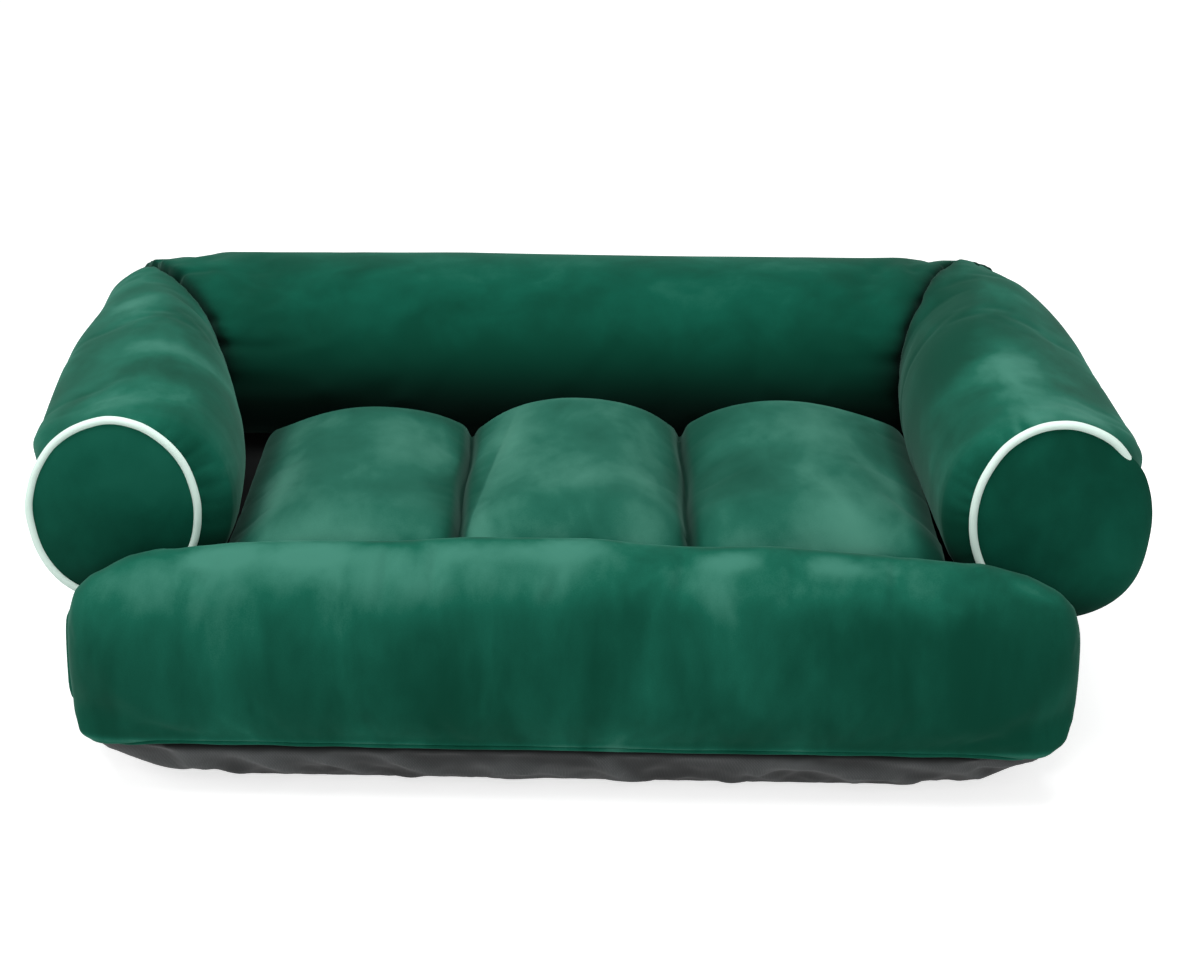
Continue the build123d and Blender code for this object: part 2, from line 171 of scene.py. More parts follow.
def new_group(name, inputs, outputs):
    """An empty shader group with its sockets."""
    group = bpy.data.node_groups.new(name, "ShaderNodeTree")
    for label, kind, default in inputs:
        socket = group.interface.new_socket(label, in_out="INPUT", socket_type=kind)
        socket.default_value = default
    for label, kind in outputs:
        group.interface.new_socket(label, in_out="OUTPUT", socket_type=kind)
    return group, group.nodes.new("NodeGroupInput"), group.nodes.new("NodeGroupOutput")


# %% The white floor and the world
WHITE = (1.0, 1.0, 1.0, 1.0)
FLOOR_LIFT = 0.72  # what makes the pale floor white to the camera
SKY_LEVEL = 0.30  # how bright the world is to the bed


def seen_directly(tree):
    """A node that is 1 for the camera's rays, also after a mirror or through glass."""
    rays = add_node(tree, "ShaderNodeLightPath")
    either, any_of_them = add_math(tree, "MAXIMUM"), add_math(tree, "MAXIMUM")
    join(
        tree,
        ((rays, "Is Camera Ray"), (either, 0)),
        ((rays, "Is Glossy Ray"), (either, 1)),
        ((either, 0), (any_of_them, 0)),
        ((rays, "Is Transmission Ray"), (any_of_them, 1)),
    )
    return any_of_them


material, tree, shader = new_material(
    "white_floor", Base_Color=(0.8, 0.8, 0.8, 1.0), Roughness=0.9, Specular_IOR_Level=0.1,
    Emission_Color=WHITE,
)
lift = add_math(tree, "MULTIPLY", FLOOR_LIFT)
join(tree, ((seen_directly(tree), 0), (lift, 0)), ((lift, 0), (shader, "Emission Strength")))
floor.data.materials.append(material)

scene.world = bpy.data.worlds.new("studio")
scene.world.use_nodes = True
tree = scene.world.node_tree
sky = tree.nodes["Background"]
set_inputs(sky, {"Color": WHITE})
level = add_node(tree, "ShaderNodeMapRange", To_Min=SKY_LEVEL, To_Max=1.0)
join(tree, ((seen_directly(tree), 0), (level, "Value")), ((level, "Result"), (sky, "Strength")))

# %% [markdown]
# ## Velvet
# The pile of velvet leans where a hand last passed, so the cloth shows cloudy patches, lighter
# or darker by a shade, with soft streaks along the way that it was brushed. Each patch is part
# of the colour and part of the relief. One group makes the clouds, the streaks and the short
# pile, and every velvet piece sets the way its streaks run. Two marks on a piece's points add
# to that: the first is its nap together with painted light and shade, lighter on crests and
# tops and darker low down and on sides away from the light; the second is painted shade, which
# darkens creases, seams and gaps to near black. The soft bright edge that pile has is the
# shader's sheen, set on the shader itself.

# %% The nap group
nap, given, made = new_group(
    "nap",
    [
        ("Stretch", "NodeSocketVector", (1.0, 1.0, 1.0)),
        ("Deep", "NodeSocketColor", (0.0, 0.05, 0.03, 1.0)),
        ("Middle", "NodeSocketColor", (0.01, 0.1, 0.06, 1.0)),
        ("Brushed", "NodeSocketColor", (0.04, 0.18, 0.12, 1.0)),
    ],
    [("Color", "NodeSocketColor"), ("Relief", "NodeSocketFloat"), ("Roughness", "NodeSocketFloat")],
)
place = add_node(nap, "ShaderNodeTexCoord")
stretched = add_node(nap, "ShaderNodeVectorMath", operation="MULTIPLY")
patches = add_noise(nap, 6.0, 2.0, distortion=0.3)
clouds = add_noise(nap, 21.0, 3.0, distortion=0.4)
streaks = add_noise(nap, 60.0, 3.0, 0.6)
pile = add_noise(nap, 900.0, 2.0, 0.6)
wide = add_math(nap, "MULTIPLY", 0.45)
cloudy = add_math(nap, "MULTIPLY_ADD", 0.55)
streaky = add_math(nap, "MULTIPLY_ADD", 0.14)
piled = add_math(nap, "MULTIPLY_ADD", 0.10)
# The nap mark on the points: the cloth's own nap, with painted highlights and painted shade added
# to it.
nap_and_light_mark = add_node(nap, "ShaderNodeAttribute", attribute_name="nap_and_painted_light")
with_marks = add_math(nap, "MULTIPLY_ADD", 0.6)
shade = add_node(
    nap, "ShaderNodeMapRange", interpolation_type="SMOOTHSTEP", From_Min=0.36, From_Max=1.02
)
dark_to_middle = add_node(nap, "ShaderNodeMapRange", From_Max=0.5)
middle_to_light = add_node(nap, "ShaderNodeMapRange", From_Min=0.5)
deep_mix, light_mix = mix_colors(nap), mix_colors(nap)
# Painted shade: this mark darkens creases, seams and gaps to near black.
painted_shade = add_node(nap, "ShaderNodeAttribute", attribute_name="painted_shade")
painted_shade_mix = mix_colors(nap, {SECOND: (0.0, 0.007, 0.0045, 1.0)})
rough = add_node(nap, "ShaderNodeMapRange", To_Min=0.95, To_Max=0.78)
join(
    nap,
    ((place, "Object"), (stretched, 0)),
    ((given, "Stretch"), (stretched, 1)),
    ((place, "Object"), (patches, "Vector")),
    ((stretched, 0), (clouds, "Vector")),
    ((stretched, 0), (streaks, "Vector")),
    ((place, "Object"), (pile, "Vector")),
    ((patches, 0), (wide, 0)),
    ((clouds, 0), (cloudy, 0)),
    ((wide, 0), (cloudy, 2)),
    ((streaks, 0), (streaky, 0)),
    ((cloudy, 0), (streaky, 2)),
    ((pile, 0), (piled, 0)),
    ((streaky, 0), (piled, 2)),
    ((nap_and_light_mark, "Fac"), (with_marks, 0)),
    ((piled, 0), (with_marks, 2)),
    ((with_marks, 0), (shade, "Value")),
    ((shade, "Result"), (dark_to_middle, "Value")),
    ((shade, "Result"), (middle_to_light, "Value")),
    ((dark_to_middle, "Result"), (deep_mix, "Factor")),
    ((middle_to_light, "Result"), (light_mix, "Factor")),
    ((given, "Deep"), (deep_mix, FIRST)),
    ((given, "Middle"), (deep_mix, SECOND)),
    ((deep_mix, MIXED), (light_mix, FIRST)),
    ((given, "Brushed"), (light_mix, SECOND)),
    ((light_mix, MIXED), (painted_shade_mix, FIRST)),
    ((painted_shade, "Fac"), (painted_shade_mix, "Factor")),
    ((painted_shade_mix, MIXED), (made, "Color")),
    ((piled, 0), (made, "Relief")),
    ((shade, "Result"), (rough, "Value")),
    ((rough, "Result"), (made, "Roughness")),
)


# %% Velvet for each piece
def dress_shader(tree, shader, cloth, relief, height):
    """Joins a cloth group to its shader, its relief as a bump of a height in metres."""
    bump = add_node(tree, "ShaderNodeBump", Strength=relief, Distance=height)
    join(
        tree,
        ((cloth, "Color"), (shader, "Base Color")),
        ((cloth, "Relief"), (bump, "Height")),
        ((bump, "Normal"), (shader, "Normal")),
    )


def make_velvet(name, stretch, deep, middle, nap_and_painted_light, sheen=0.16):
    """Green velvet whose streaks are drawn out where stretch is small."""
    material, tree, shader = new_material(
        name, Specular_IOR_Level=0.12, Sheen_Weight=sheen, Sheen_Roughness=0.35,
        Sheen_Tint=(0.34, 0.72, 0.58, 1.0),
    )
    cloth = add_node(
        tree, "ShaderNodeGroup", node_tree=nap, Stretch=stretch, Deep=deep, Middle=middle,
        Brushed=nap_and_painted_light,
    )
    dress_shader(tree, shader, cloth, 0.35, 0.0012)
    join(tree, ((cloth, "Roughness"), (shader, "Roughness")))
    return material


# The lightest colour serves the cloth's own brushed nap and the painted highlights alike.
DEEP = (0.0, 0.046, 0.026, 1.0)
MIDDLE = (0.004, 0.096, 0.060, 1.0)
BRUSHED_AND_LIT = (0.040, 0.182, 0.130, 1.0)
velvet_front = make_velvet("velvet_front", (1.0, 1.0, 0.35), DEEP, MIDDLE, BRUSHED_AND_LIT)
velvet_arm = make_velvet("velvet_arm", (1.0, 0.6, 1.0), DEEP, MIDDLE, BRUSHED_AND_LIT)
# Painted shade: the back's velvet is a darker copy of the velvet on the other rolls.
velvet_back_shaded = make_velvet(
    "velvet_back_shaded", (0.8, 1.0, 0.7), DEEP, (0.0, 0.075, 0.045, 1.0), (0.014, 0.125, 0.083, 1.0)
)
velvet_seat = make_velvet(
    "velvet_seat", (0.8, 0.4, 0.8), (0.0, 0.052, 0.031, 1.0), (0.010, 0.100, 0.066, 1.0),
    (0.050, 0.192, 0.138, 1.0),
)
velvet_disc = make_velvet(
    "velvet_disc", (1.0, 1.0, 0.8), (0.0, 0.044, 0.025, 1.0), (0.001, 0.072, 0.043, 1.0), MIDDLE,
    sheen=0.1,
)

# %% [markdown]
# ## Woven cloths
# The underside and the deck are plain woven cloth, the piping is a fine twill on the bias and
# the zip tapes are ribbed. At this size a weave is two crossed rows of threads, so one group
# makes it from two wave textures, with a soft unevenness so that no thread is like the next.

# %% The weave group
weave, given, made = new_group(
    "weave",
    [
        ("Threads", "NodeSocketFloat", 400.0),
        ("Dark", "NodeSocketColor", (0.02, 0.02, 0.02, 1.0)),
        ("Light", "NodeSocketColor", (0.06, 0.06, 0.06, 1.0)),
    ],
    [("Color", "NodeSocketColor"), ("Relief", "NodeSocketFloat")],
)
place = add_node(weave, "ShaderNodeTexCoord")
warp, weft = [
    add_node(weave, "ShaderNodeTexWave", bands_direction=way, Distortion=0.6, Detail=1.0)
    for way in ("X", "DIAGONAL")
]
crossed = add_math(weave, "MULTIPLY")
uneven = add_noise(weave, 22.0, 4.0, 0.6)
mixed = add_math(weave, "MULTIPLY_ADD", 0.35)
weave_mix = mix_colors(weave)
# Painted shade: the same mark darkens the woven cloth to near black where shade falls.
painted_shade = add_node(weave, "ShaderNodeAttribute", attribute_name="painted_shade")
painted_shade_mix = mix_colors(weave, {SECOND: (0.002, 0.002, 0.002, 1.0)})
join(
    weave,
    ((place, "Object"), (warp, "Vector")),
    ((place, "Object"), (weft, "Vector")),
    ((place, "Object"), (uneven, "Vector")),
    ((given, "Threads"), (warp, "Scale")),
    ((given, "Threads"), (weft, "Scale")),
    ((warp, 1), (crossed, 0)),
    ((weft, 1), (crossed, 1)),
    ((crossed, 0), (mixed, 0)),
    ((uneven, 0), (mixed, 2)),
    ((mixed, 0), (weave_mix, "Factor")),
    ((mixed, 0), (made, "Relief")),
    ((given, "Dark"), (weave_mix, FIRST)),
    ((given, "Light"), (weave_mix, SECOND)),
    ((weave_mix, MIXED), (painted_shade_mix, FIRST)),
    ((painted_shade, "Fac"), (painted_shade_mix, "Factor")),
    ((painted_shade_mix, MIXED), (made, "Color")),
)


# %% Woven materials
def make_woven(name, threads, dark, light, roughness=0.85, relief=0.3, sheen=0.1, shine=0.25):
    """Plain cloth of two crossed threads."""
    material, tree, shader = new_material(
        name, Roughness=roughness, Specular_IOR_Level=shine, Sheen_Weight=sheen
    )
    cloth = add_node(
        tree, "ShaderNodeGroup", node_tree=weave, Threads=threads, Dark=dark, Light=light
    )
    dress_shader(tree, shader, cloth, relief, 0.0004)
    return material


dark_cloth = make_woven("dark_cloth", 260.0, (0.024, 0.026, 0.026, 1.0), (0.100, 0.106, 0.108, 1.0))
piping_cloth = make_woven(
    "piping_cloth", 420.0, (0.62, 0.82, 0.72, 1.0), (0.8, 0.95, 0.88, 1.0), roughness=0.8,
    relief=0.2,
)
# Painted shade: the deck's cloth is near black, standing in for the shade in the gaps round the
# cushion.
deck_twill_shaded = make_woven(
    "deck_twill_shaded", 300.0, (0.0015, 0.002, 0.002, 1.0), (0.008, 0.009, 0.009, 1.0), sheen=0.0,
    shine=0.08,
)
tape_cloth = make_woven("tape_cloth", 500.0, (0.004, 0.03, 0.02, 1.0), (0.012, 0.08, 0.055, 1.0))

# %% [markdown]
# ## Zip plastic and metal
# The coils are dyed nylon, a little shiny. The sliders and pulls are nickel, which is brighter
# where fingers and cloth rub it, and duller with fine scratches elsewhere.

# %% Nylon and nickel
coil_nylon, tree, shader = new_material("coil_nylon", Roughness=0.35)
place = add_node(tree, "ShaderNodeTexCoord")
dye = add_noise(tree, 300.0, 2.0)
tone = mix_colors(tree, {FIRST: (0.004, 0.045, 0.03, 1.0), SECOND: (0.012, 0.09, 0.06, 1.0)})
join(
    tree,
    ((place, "Object"), (dye, "Vector")),
    ((dye, 0), (tone, "Factor")),
    ((tone, MIXED), (shader, "Base Color")),
)

nickel, tree, shader = new_material("nickel", Metallic=1.0)
place = add_node(tree, "ShaderNodeTexCoord")
rubbed = add_noise(tree, 180.0, 4.0, 0.7)
scratches = add_noise(tree, 900.0, 3.0)
tone = mix_colors(tree, {FIRST: (0.3, 0.3, 0.31, 1.0), SECOND: (0.5, 0.5, 0.5, 1.0)})
dull = add_node(tree, "ShaderNodeMapRange", To_Min=0.45, To_Max=0.22)
bump = add_node(tree, "ShaderNodeBump", Strength=0.15, Distance=0.0001)
join(
    tree,
    ((place, "Object"), (rubbed, "Vector")),
    ((place, "Object"), (scratches, "Vector")),
    ((rubbed, 0), (tone, "Factor")),
    ((tone, MIXED), (shader, "Base Color")),
    ((rubbed, 0), (dull, "Value")),
    ((dull, "Result"), (shader, "Roughness")),
    ((scratches, 0), (bump, "Height")),
    ((bump, "Normal"), (shader, "Normal")),
)
print("materials", len(bpy.data.materials))

# %% [markdown]
# ## How a stuffed piece is made
# Real rolls are sewn covers with loose fibre blown in. The same can be done here: a copy of the
# stuffing's solid is remeshed into even cloth, and Cloth with a little pressure inside swells it
# until it is round and taut, with its seams held. The other way, moving points by hand alone,
# gives neither the even tension nor the small puckers at a seam. Pressure has no fixed end, so
# each point may only go a set distance.

# %% Reading and moving points
def pick(piece):
    """Selects one piece alone and makes it active."""
    bpy.ops.object.select_all(action="DESELECT")
    piece.select_set(True)
    bpy.context.view_layer.objects.active = piece


def read_rows(piece, label):
    """One row of three numbers for each point."""
    rows = np.empty(len(piece.data.vertices) * 3)
    piece.data.vertices.foreach_get(label, rows)
    return rows.reshape(-1, 3)


def get_points(piece):
    """The piece's points as rows of x, y, z; rows.T gives the three columns to work on."""
    return read_rows(piece, "co")


def get_normals(piece):
    """The direction that each point faces."""
    return read_rows(piece, "normal")


def set_points(piece, rows):
    """Puts a piece's points in new places."""
    piece.data.vertices.foreach_set("co", rows.ravel())
    piece.data.update()


# %% Operators on a whole piece
def apply_modifier(piece, kind, **values):
    """Adds a modifier with its values and applies it."""
    pick(piece)
    modifier = piece.modifiers.new(kind.lower(), kind)
    for name, value in values.items():
        setattr(modifier, name, value)
    bpy.ops.object.modifier_apply(modifier=modifier.name)


def edit_all(piece, operator, **values):
    """Runs an edit mode operator on the whole of a piece."""
    pick(piece)
    bpy.ops.object.mode_set(mode="EDIT")
    bpy.ops.mesh.select_all(action="SELECT")
    operator(**values)
    bpy.ops.object.mode_set(mode="OBJECT")


def shade_smooth(piece):
    """Smooth shading all over."""
    pick(piece)
    bpy.ops.object.shade_smooth()


def settle_primitive(name, **place):
    """Names the primitive that was just added, and puts its place and size into its mesh."""
    piece = bpy.context.object
    piece.name = name
    for label, value in place.items():
        setattr(piece, label, value)
    bpy.ops.object.transform_apply()
    return piece


def duplicate(piece, name):
    """A copy of a piece with its own mesh."""
    twin = piece.copy()
    twin.data = piece.data.copy()
    twin.name = name
    scene.collection.objects.link(twin)
    return twin


# %% Even cloth
CLOTH_GRAIN, COARSE_GRAIN = 0.005, 0.0075  # how fine the cloth is remeshed, in metres


def relax(piece, rounds):
    """Evens out a mesh."""
    apply_modifier(piece, "SMOOTH", factor=0.5, iterations=rounds)


def calm(piece, mask, rounds):
    """Evens out a piece only where its mask is 1."""
    before = get_points(piece)
    relax(piece, rounds)
    set_points(piece, before + (get_points(piece) - before) * mask[:, None])


def subdivide(piece):
    """Adds one level of subdivision and smooth shading."""
    apply_modifier(piece, "SUBSURF", levels=1, render_levels=1)
    shade_smooth(piece)


def remesh(piece, grain, rounds):
    """Turns a closed piece into even cloth."""
    apply_modifier(piece, "REMESH", mode="VOXEL", voxel_size=grain)
    relax(piece, rounds)


def start_cloth(name, node, grain, rounds):
    """A new piece of even cloth from a copy of a solid, with its doubled points merged."""
    piece = bpy.data.objects.new(name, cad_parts[node].data.copy())
    scene.collection.objects.link(piece)
    piece.data.materials.clear()
    edit_all(piece, bpy.ops.mesh.remove_doubles, threshold=0.00002)
    remesh(piece, grain, rounds)
    return piece


# %% [markdown]
# ## Soft steps, bumps and noise
# A stuffed shape has no hard edges, so each change of shape or shade starts and ends softly. The
# numbers that say where are places in metres on the bed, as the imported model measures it.

# %% Masks
def smooth_step(value, start, end):
    """0 before start, 1 after end, and soft between."""
    share = np.clip((value - start) / (end - start), 0.0, 1.0)
    return share * share * (3.0 - 2.0 * share)


def fade(value, start, end):
    """1 before start, 0 after end, and soft between."""
    return 1.0 - smooth_step(value, start, end)


def bump_at(value, middle, width):
    """1 at the middle, falling softly to 0 within about two widths."""
    return np.exp(-(((value - middle) / width) ** 2))


def wander(rows, size, seed):
    """Smooth noise from -1 to 1 at each point; size is how wide its waves are, in metres."""
    grid = np.random.default_rng(seed).uniform(-1.0, 1.0, (16, 16, 16))
    spot = np.asarray(rows) / size + 500.0
    cell = np.floor(spot).astype(int)
    part = spot - cell
    part = part**3 * (part * (part * 6.0 - 15.0) + 10.0)
    total = np.zeros(len(spot))
    for corner in np.ndindex(2, 2, 2):
        weight = np.prod(np.where(corner, part, 1.0 - part), axis=1)
        near = (cell + corner) % 16
        total += weight * grid[near[:, 0], near[:, 1], near[:, 2]]
    return total


def add_waves(rows, facing, height, size, seed, stretch=(1.0, 1.0, 1.0)):
    """Moves points in and out by noise, which is drawn out where stretch is small."""
    rows += facing * (wander(rows * stretch, size, seed) * height)[:, None]


# %% Plumping with cloth pressure
STEPS = 20


def plump(piece, cap, held, slack, pressure=4.0):
    """Swells a closed piece as stuffed cloth, by no more than the cap at any point.

    Held is how firmly each point stays, 0 to 1. Slack is the spare cloth as a share of its
    length, which gives folds.
    """
    before = get_points(piece)
    pick(piece)
    modifier = piece.modifiers.new("stuffing", "CLOTH")
    cloth = modifier.settings
    cloth.quality = 4
    cloth.mass = 0.3
    cloth.tension_stiffness = cloth.compression_stiffness = 12.0
    cloth.shear_stiffness = 6.0
    cloth.bending_stiffness = 0.4
    cloth.use_pressure = True
    cloth.uniform_pressure_force = pressure
    cloth.effector_weights.gravity = 0.0
    cloth.shrink_min = -slack
    modifier.collision_settings.use_collision = False
    modifier.collision_settings.use_self_collision = False
    seam = piece.vertex_groups.new(name="seam")
    for index in np.nonzero(held > 0.01)[0]:
        seam.add([int(index)], float(held[index]), "REPLACE")
    cloth.vertex_group_mass = "seam"
    modifier.point_cache.frame_start = 1
    modifier.point_cache.frame_end = STEPS
    for step in range(1, STEPS + 1):
        scene.frame_set(step)
    bpy.ops.object.modifier_apply(modifier=modifier.name)
    scene.frame_set(1)
    piece.vertex_groups.clear()
    moved = get_points(piece) - before
    far = np.linalg.norm(moved, axis=1)
    reach = cap * np.tanh(far / cap)
    set_points(piece, before + moved * (reach / np.maximum(far, 1e-9))[:, None])
    print(piece.name, "plumped by up to", round(float(reach.max()) * 1000, 1), "mm")


# %% Drawing an outline, brushing the pile and finishing a piece
def mark_nap_and_light(piece, mask, crease=0.0):
    """Marks each point's nap and painted light, lighter (1) or darker (-1), and the painted shade
    that darkens creases to near black.
    """
    for label, values in (
        ("nap_and_painted_light", mask), ("painted_shade", np.clip(crease + mask * 0.0, 0.0, 1.0))
    ):
        attribute = piece.data.attributes.new(label, "FLOAT", "POINT")
        attribute.data.foreach_set("value", values.astype(np.float32))


def pull_line(line, along, sign, table, weight):
    """Draws a piece's outermost line to a table of places; the rest follows by its weight.

    The table pairs a place along the piece with how far out the line is there. Line is the
    column of the points that is changed.
    """
    places, wanted = np.array(table).T
    count = max(2, round((along.max() - along.min()) / 0.010))
    edges = np.linspace(along.min(), along.max(), count + 1)
    cell = np.clip(np.digitize(along, edges) - 1, 0, count - 1)
    reach = np.full(count, -np.inf)
    np.maximum.at(reach, cell, sign * line)
    middles = (edges[1:] + edges[:-1]) / 2
    known = np.isfinite(reach)
    miss = np.interp(middles, places, wanted) - np.interp(middles, middles[known], reach[known])
    miss = np.convolve(np.pad(miss, 1, mode="edge"), np.ones(3) / 3, mode="valid")
    line += sign * np.interp(along, middles, miss) * weight


def finish_piece(piece, body, material, nodes=()):
    """Gives a piece its material, its body and the solids that it stands for."""
    piece.data.materials.clear()
    piece.data.materials.append(material)
    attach(piece, body)
    if nodes:
        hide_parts(*nodes)
    print(piece.name, len(piece.data.polygons), "faces")


# %% [markdown]
# ## The front roll
# One long roll closes the bed at the front. Its cover is two pieces of velvet, joined along the
# top and along the bottom, where it is sewn to the dark underside. The roll is full, so it
# stands nearly upright, with rounded ends. After plumping, its crest gets the slight waves and
# the few short gathers that a long seam has, and its crest, foot and ends are drawn to the
# uneven lines of a hand-filled roll.

# %% Plump the front roll
front_low, front_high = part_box("front_bolster_cover")
front_roll = start_cloth("front_roll", "front_bolster_filling", CLOTH_GRAIN, rounds=4)
x, y, z = get_points(front_roll).T
foot_held = fade(z, front_low.z + 0.004, front_low.z + 0.02)
plump(front_roll, cap=0.009, held=foot_held, slack=0.012)
subdivide(front_roll)

# %% The lines that it is drawn to
CREST_LINE = (  # across and up
    (-0.400, 0.160), (-0.392, 0.169), (-0.378, 0.177), (-0.362, 0.187), (-0.346, 0.194),
    (-0.330, 0.198), (-0.301, 0.201), (-0.262, 0.206), (-0.213, 0.208), (-0.135, 0.209),
    (-0.085, 0.213), (0.020, 0.214), (0.051, 0.210), (0.098, 0.208), (0.152, 0.210),
    (0.214, 0.205), (0.285, 0.200), (0.332, 0.195), (0.348, 0.191), (0.371, 0.183),
    (0.388, 0.174), (0.398, 0.160),
)
FOOT_LINE = (  # across and down
    (-0.396, -0.068), (-0.390, -0.053), (-0.381, -0.046), (-0.369, -0.044), (-0.330, -0.048),
    (0.340, -0.048), (0.363, -0.044), (0.380, -0.048), (0.390, -0.056), (0.396, -0.072),
)
END_REACH = {-1: 0.395, 1: 0.397}
END_LINE = (  # up, and how far short of the roll's full reach
    (0.055, 0.005), (0.08, 0.001), (0.11, 0.0), (0.15, 0.0), (0.165, 0.003), (0.18, 0.012),
    (0.19, 0.03), (0.20, 0.07),
)
SHORT_GATHERS = (  # where, how deep and how wide
    (-0.142, 0.0026, 0.006), (-0.105, 0.0030, 0.006), (0.086, 0.0034, 0.006),
    (0.25, 0.0026, 0.005), (-0.27, 0.0014, 0.006), (0.315, 0.0016, 0.005), (0.17, 0.0015, 0.007),
)
GATHER_SLANT = 0.12

# %% Waves and gathers along its crest
x, y, z = get_points(front_roll).T
low_ends = smooth_step(np.abs(x), 0.30, 0.37) * fade(z, 0.09, 0.15)
calm(front_roll, low_ends, 40)
rows, facing = get_points(front_roll), get_normals(front_roll)
x, y, z = rows.T
forward = smooth_step(-facing[:, 1], -0.2, 0.6)
add_waves(rows, facing, height=0.0022, size=0.09, seed=1, stretch=(1.0, 0.4, 0.3))
for side, end in END_REACH.items():
    end_line = [(up, end - short) for up, short in END_LINE]
    pull_line(x, z, side, end_line, smooth_step(x * side, 0.30, 0.385))
pull_line(z, x, 1, CREST_LINE, smooth_step(z, 0.11, 0.19))
pull_line(z, x, -1, FOOT_LINE, fade(z, 0.06, 0.13))
set_points(front_roll, rows)
calm(front_roll, low_ends, 18)
rows = get_points(front_roll)
x, y, z = rows.T
crest_level = np.interp(x, *np.array(CREST_LINE).T)
crest = smooth_step(z, crest_level - 0.05, crest_level - 0.006)
for along, depth, width in SHORT_GATHERS:
    slant = along + (z - front_high.z) * GATHER_SLANT
    rows -= facing * (depth * bump_at(x, slant, width) * crest * forward)[:, None]
set_points(front_roll, rows)

# %% Mark its nap, and paint light and shade on it
below = crest_level - z
# A painted highlight hangs from the crest, with a ragged lower edge, and thins towards both ends.
ragged = 0.016 + 0.012 * wander(rows * (1.0, 0.2, 0.2), 0.05, 81)
top_light_band = fade(below, ragged - 0.01, ragged + 0.042) * forward
top_light_band *= 1.0 - 0.75 * smooth_step(x, 0.24, 0.32)
top_light_band *= 1.0 - 0.5 * smooth_step(-x, 0.10, 0.26)
lower_seam_highlight = bump_at(z, front_low.z + 0.0035, 0.0035) * forward  # a painted highlight along the lower seam
left_painted_light = bump_at(x, -0.20, 0.20) * smooth_step(z, 0.08, 0.16) * forward
crest_highlight = bump_at(below, 0.004, 0.006) * forward
# Painted light and shade over some random nap: highlights along the crest, just under it and along
# the lower seam, a lighter left, and shade on the right and below the crest.
mark_nap_and_light(
    front_roll,
    0.35 * crest_highlight * (0.6 + wander(rows, 0.04, 84)) - 0.16 * smooth_step(x, 0.12, 0.32)
    + top_light_band * (0.28 + 0.18 * wander(rows, 0.06, 82)) + 0.5 * lower_seam_highlight + 0.12 * left_painted_light
    - 0.10 * (1.0 - crest) * forward,
)
finish_piece(
    front_roll, "bed", velvet_front,
    ("front_bolster_cover", "front_bolster_filling"),
)

# %% [markdown]
# ## Arms and back
# The two arms and the back are one round roll bent twice: its pieces are mitred at the rear
# corners, where the seams pull the velvet into a crease with small gathers. Each piece is
# plumped with its two ends held, so it swells between its seams, and the gathers are then
# pressed in along each seam, across it, as thread pulls them.

# %% Where the seams of the rolls are
arm_low, arm_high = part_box("right_arm_cover")
back_low, back_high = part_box("back_bolster_cover")
piping_low, piping_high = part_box("right_arm_piping")
ARM_WIDTH = 0.158
WELL_HALF = arm_high.x - ARM_WIDTH
ARM_FRONT = arm_low.y
BACK_FACE = back_low.y
DECK = arm_low.z
ARM_MIDDLE = WELL_HALF + ARM_WIDTH / 2
ROLL_LEVEL = DECK + 0.084
PIPING_RADIUS = (piping_high.y - piping_low.y) / 2
PIPING_PLANE = (piping_high.y + piping_low.y) / 2
DISC_ACROSS = (piping_low.x + piping_high.x) / 2
DISC_LEVEL = (piping_low.z + piping_high.z) / 2
DISC_HALF = ((piping_high.x - piping_low.x) / 2 - PIPING_RADIUS,
             (piping_high.z - piping_low.z) / 2 - PIPING_RADIUS)
MITRE_ACROSS = Vector((back_high.y - BACK_FACE, -ARM_WIDTH, 0.0)).normalized()


def from_mitre(rows, side):
    """How far each point is from the mitre of a side, towards the arm."""
    x, y, _ = rows.T
    return (x * side - WELL_HALF) * MITRE_ACROSS.x + (y - BACK_FACE) * MITRE_ACROSS.y


def hold_seam(distance, start, end, level):
    """How firmly a roll is held at a seam and along its sole, for its plumping."""
    return np.maximum(fade(distance, start, end), fade(level, DECK + 0.003, DECK + 0.012))


def gather(piece, distance, around, count, depth, reach, seed):
    """Presses fine gathers in beside a seam; around is the angle round the roll."""
    rows = get_points(piece)
    facing = get_normals(piece)
    uneven = wander(np.stack([np.cos(around), np.sin(around), around * 0], 1), 0.55, seed)
    fold = np.sin(around * count + uneven * 3.0) * 0.5 + 0.5
    strength = np.clip(0.55 + uneven * 1.1, 0.0, 1.3)
    beside = np.exp(-np.abs(distance) / (reach * (0.6 + 0.6 * strength)))
    rows -= facing * (fold**2 * strength * depth * beside)[:, None]
    set_points(piece, rows)


# %% How each side is sewn (1 is the right side, -1 the left)
SIDES = {"right": 1, "left": -1}
SKEW = {1: 0.0135, -1: 0.0048}  # how far the front of each arm leans to the right
WIDTH = {1: 0.94, -1: 0.915}  # each disc's own width and height, as sewn
HEIGHT = {1: 0.985, -1: 0.925}
HEEL = {1: 0.007, -1: 0.003}  # how much wider the lower outer side is
INNER_LINE = {  # the arm's innermost line, from its front to the mitre
    1: ((-0.24, 0.292), (-0.12, 0.290), (0.0, 0.287), (0.08, 0.290), (0.13, 0.296)),
    -1: ((-0.24, 0.274), (-0.20, 0.271), (-0.12, 0.277), (-0.06, 0.286), (0.02, 0.302),
         (0.08, 0.315), (0.13, 0.324)),
}
SEAM_SHIFT = {  # how far the mitre's seam is sewn outwards
    1: ((0.08, 0.0), (0.13, 0.0), (0.19, -0.012), (0.24, -0.025), (0.28, -0.022), (0.35, 0.0)),
    -1: ((0.08, 0.022), (0.13, 0.031), (0.24, 0.026), (0.30, 0.014), (0.35, 0.0)),
}
SLIM = {1: 0.008, -1: 0.012}  # how far the outer side draws in behind the disc
SHOULDER = {1: 0.015, -1: 0.0165}  # how far it swells out above that, behind the piping
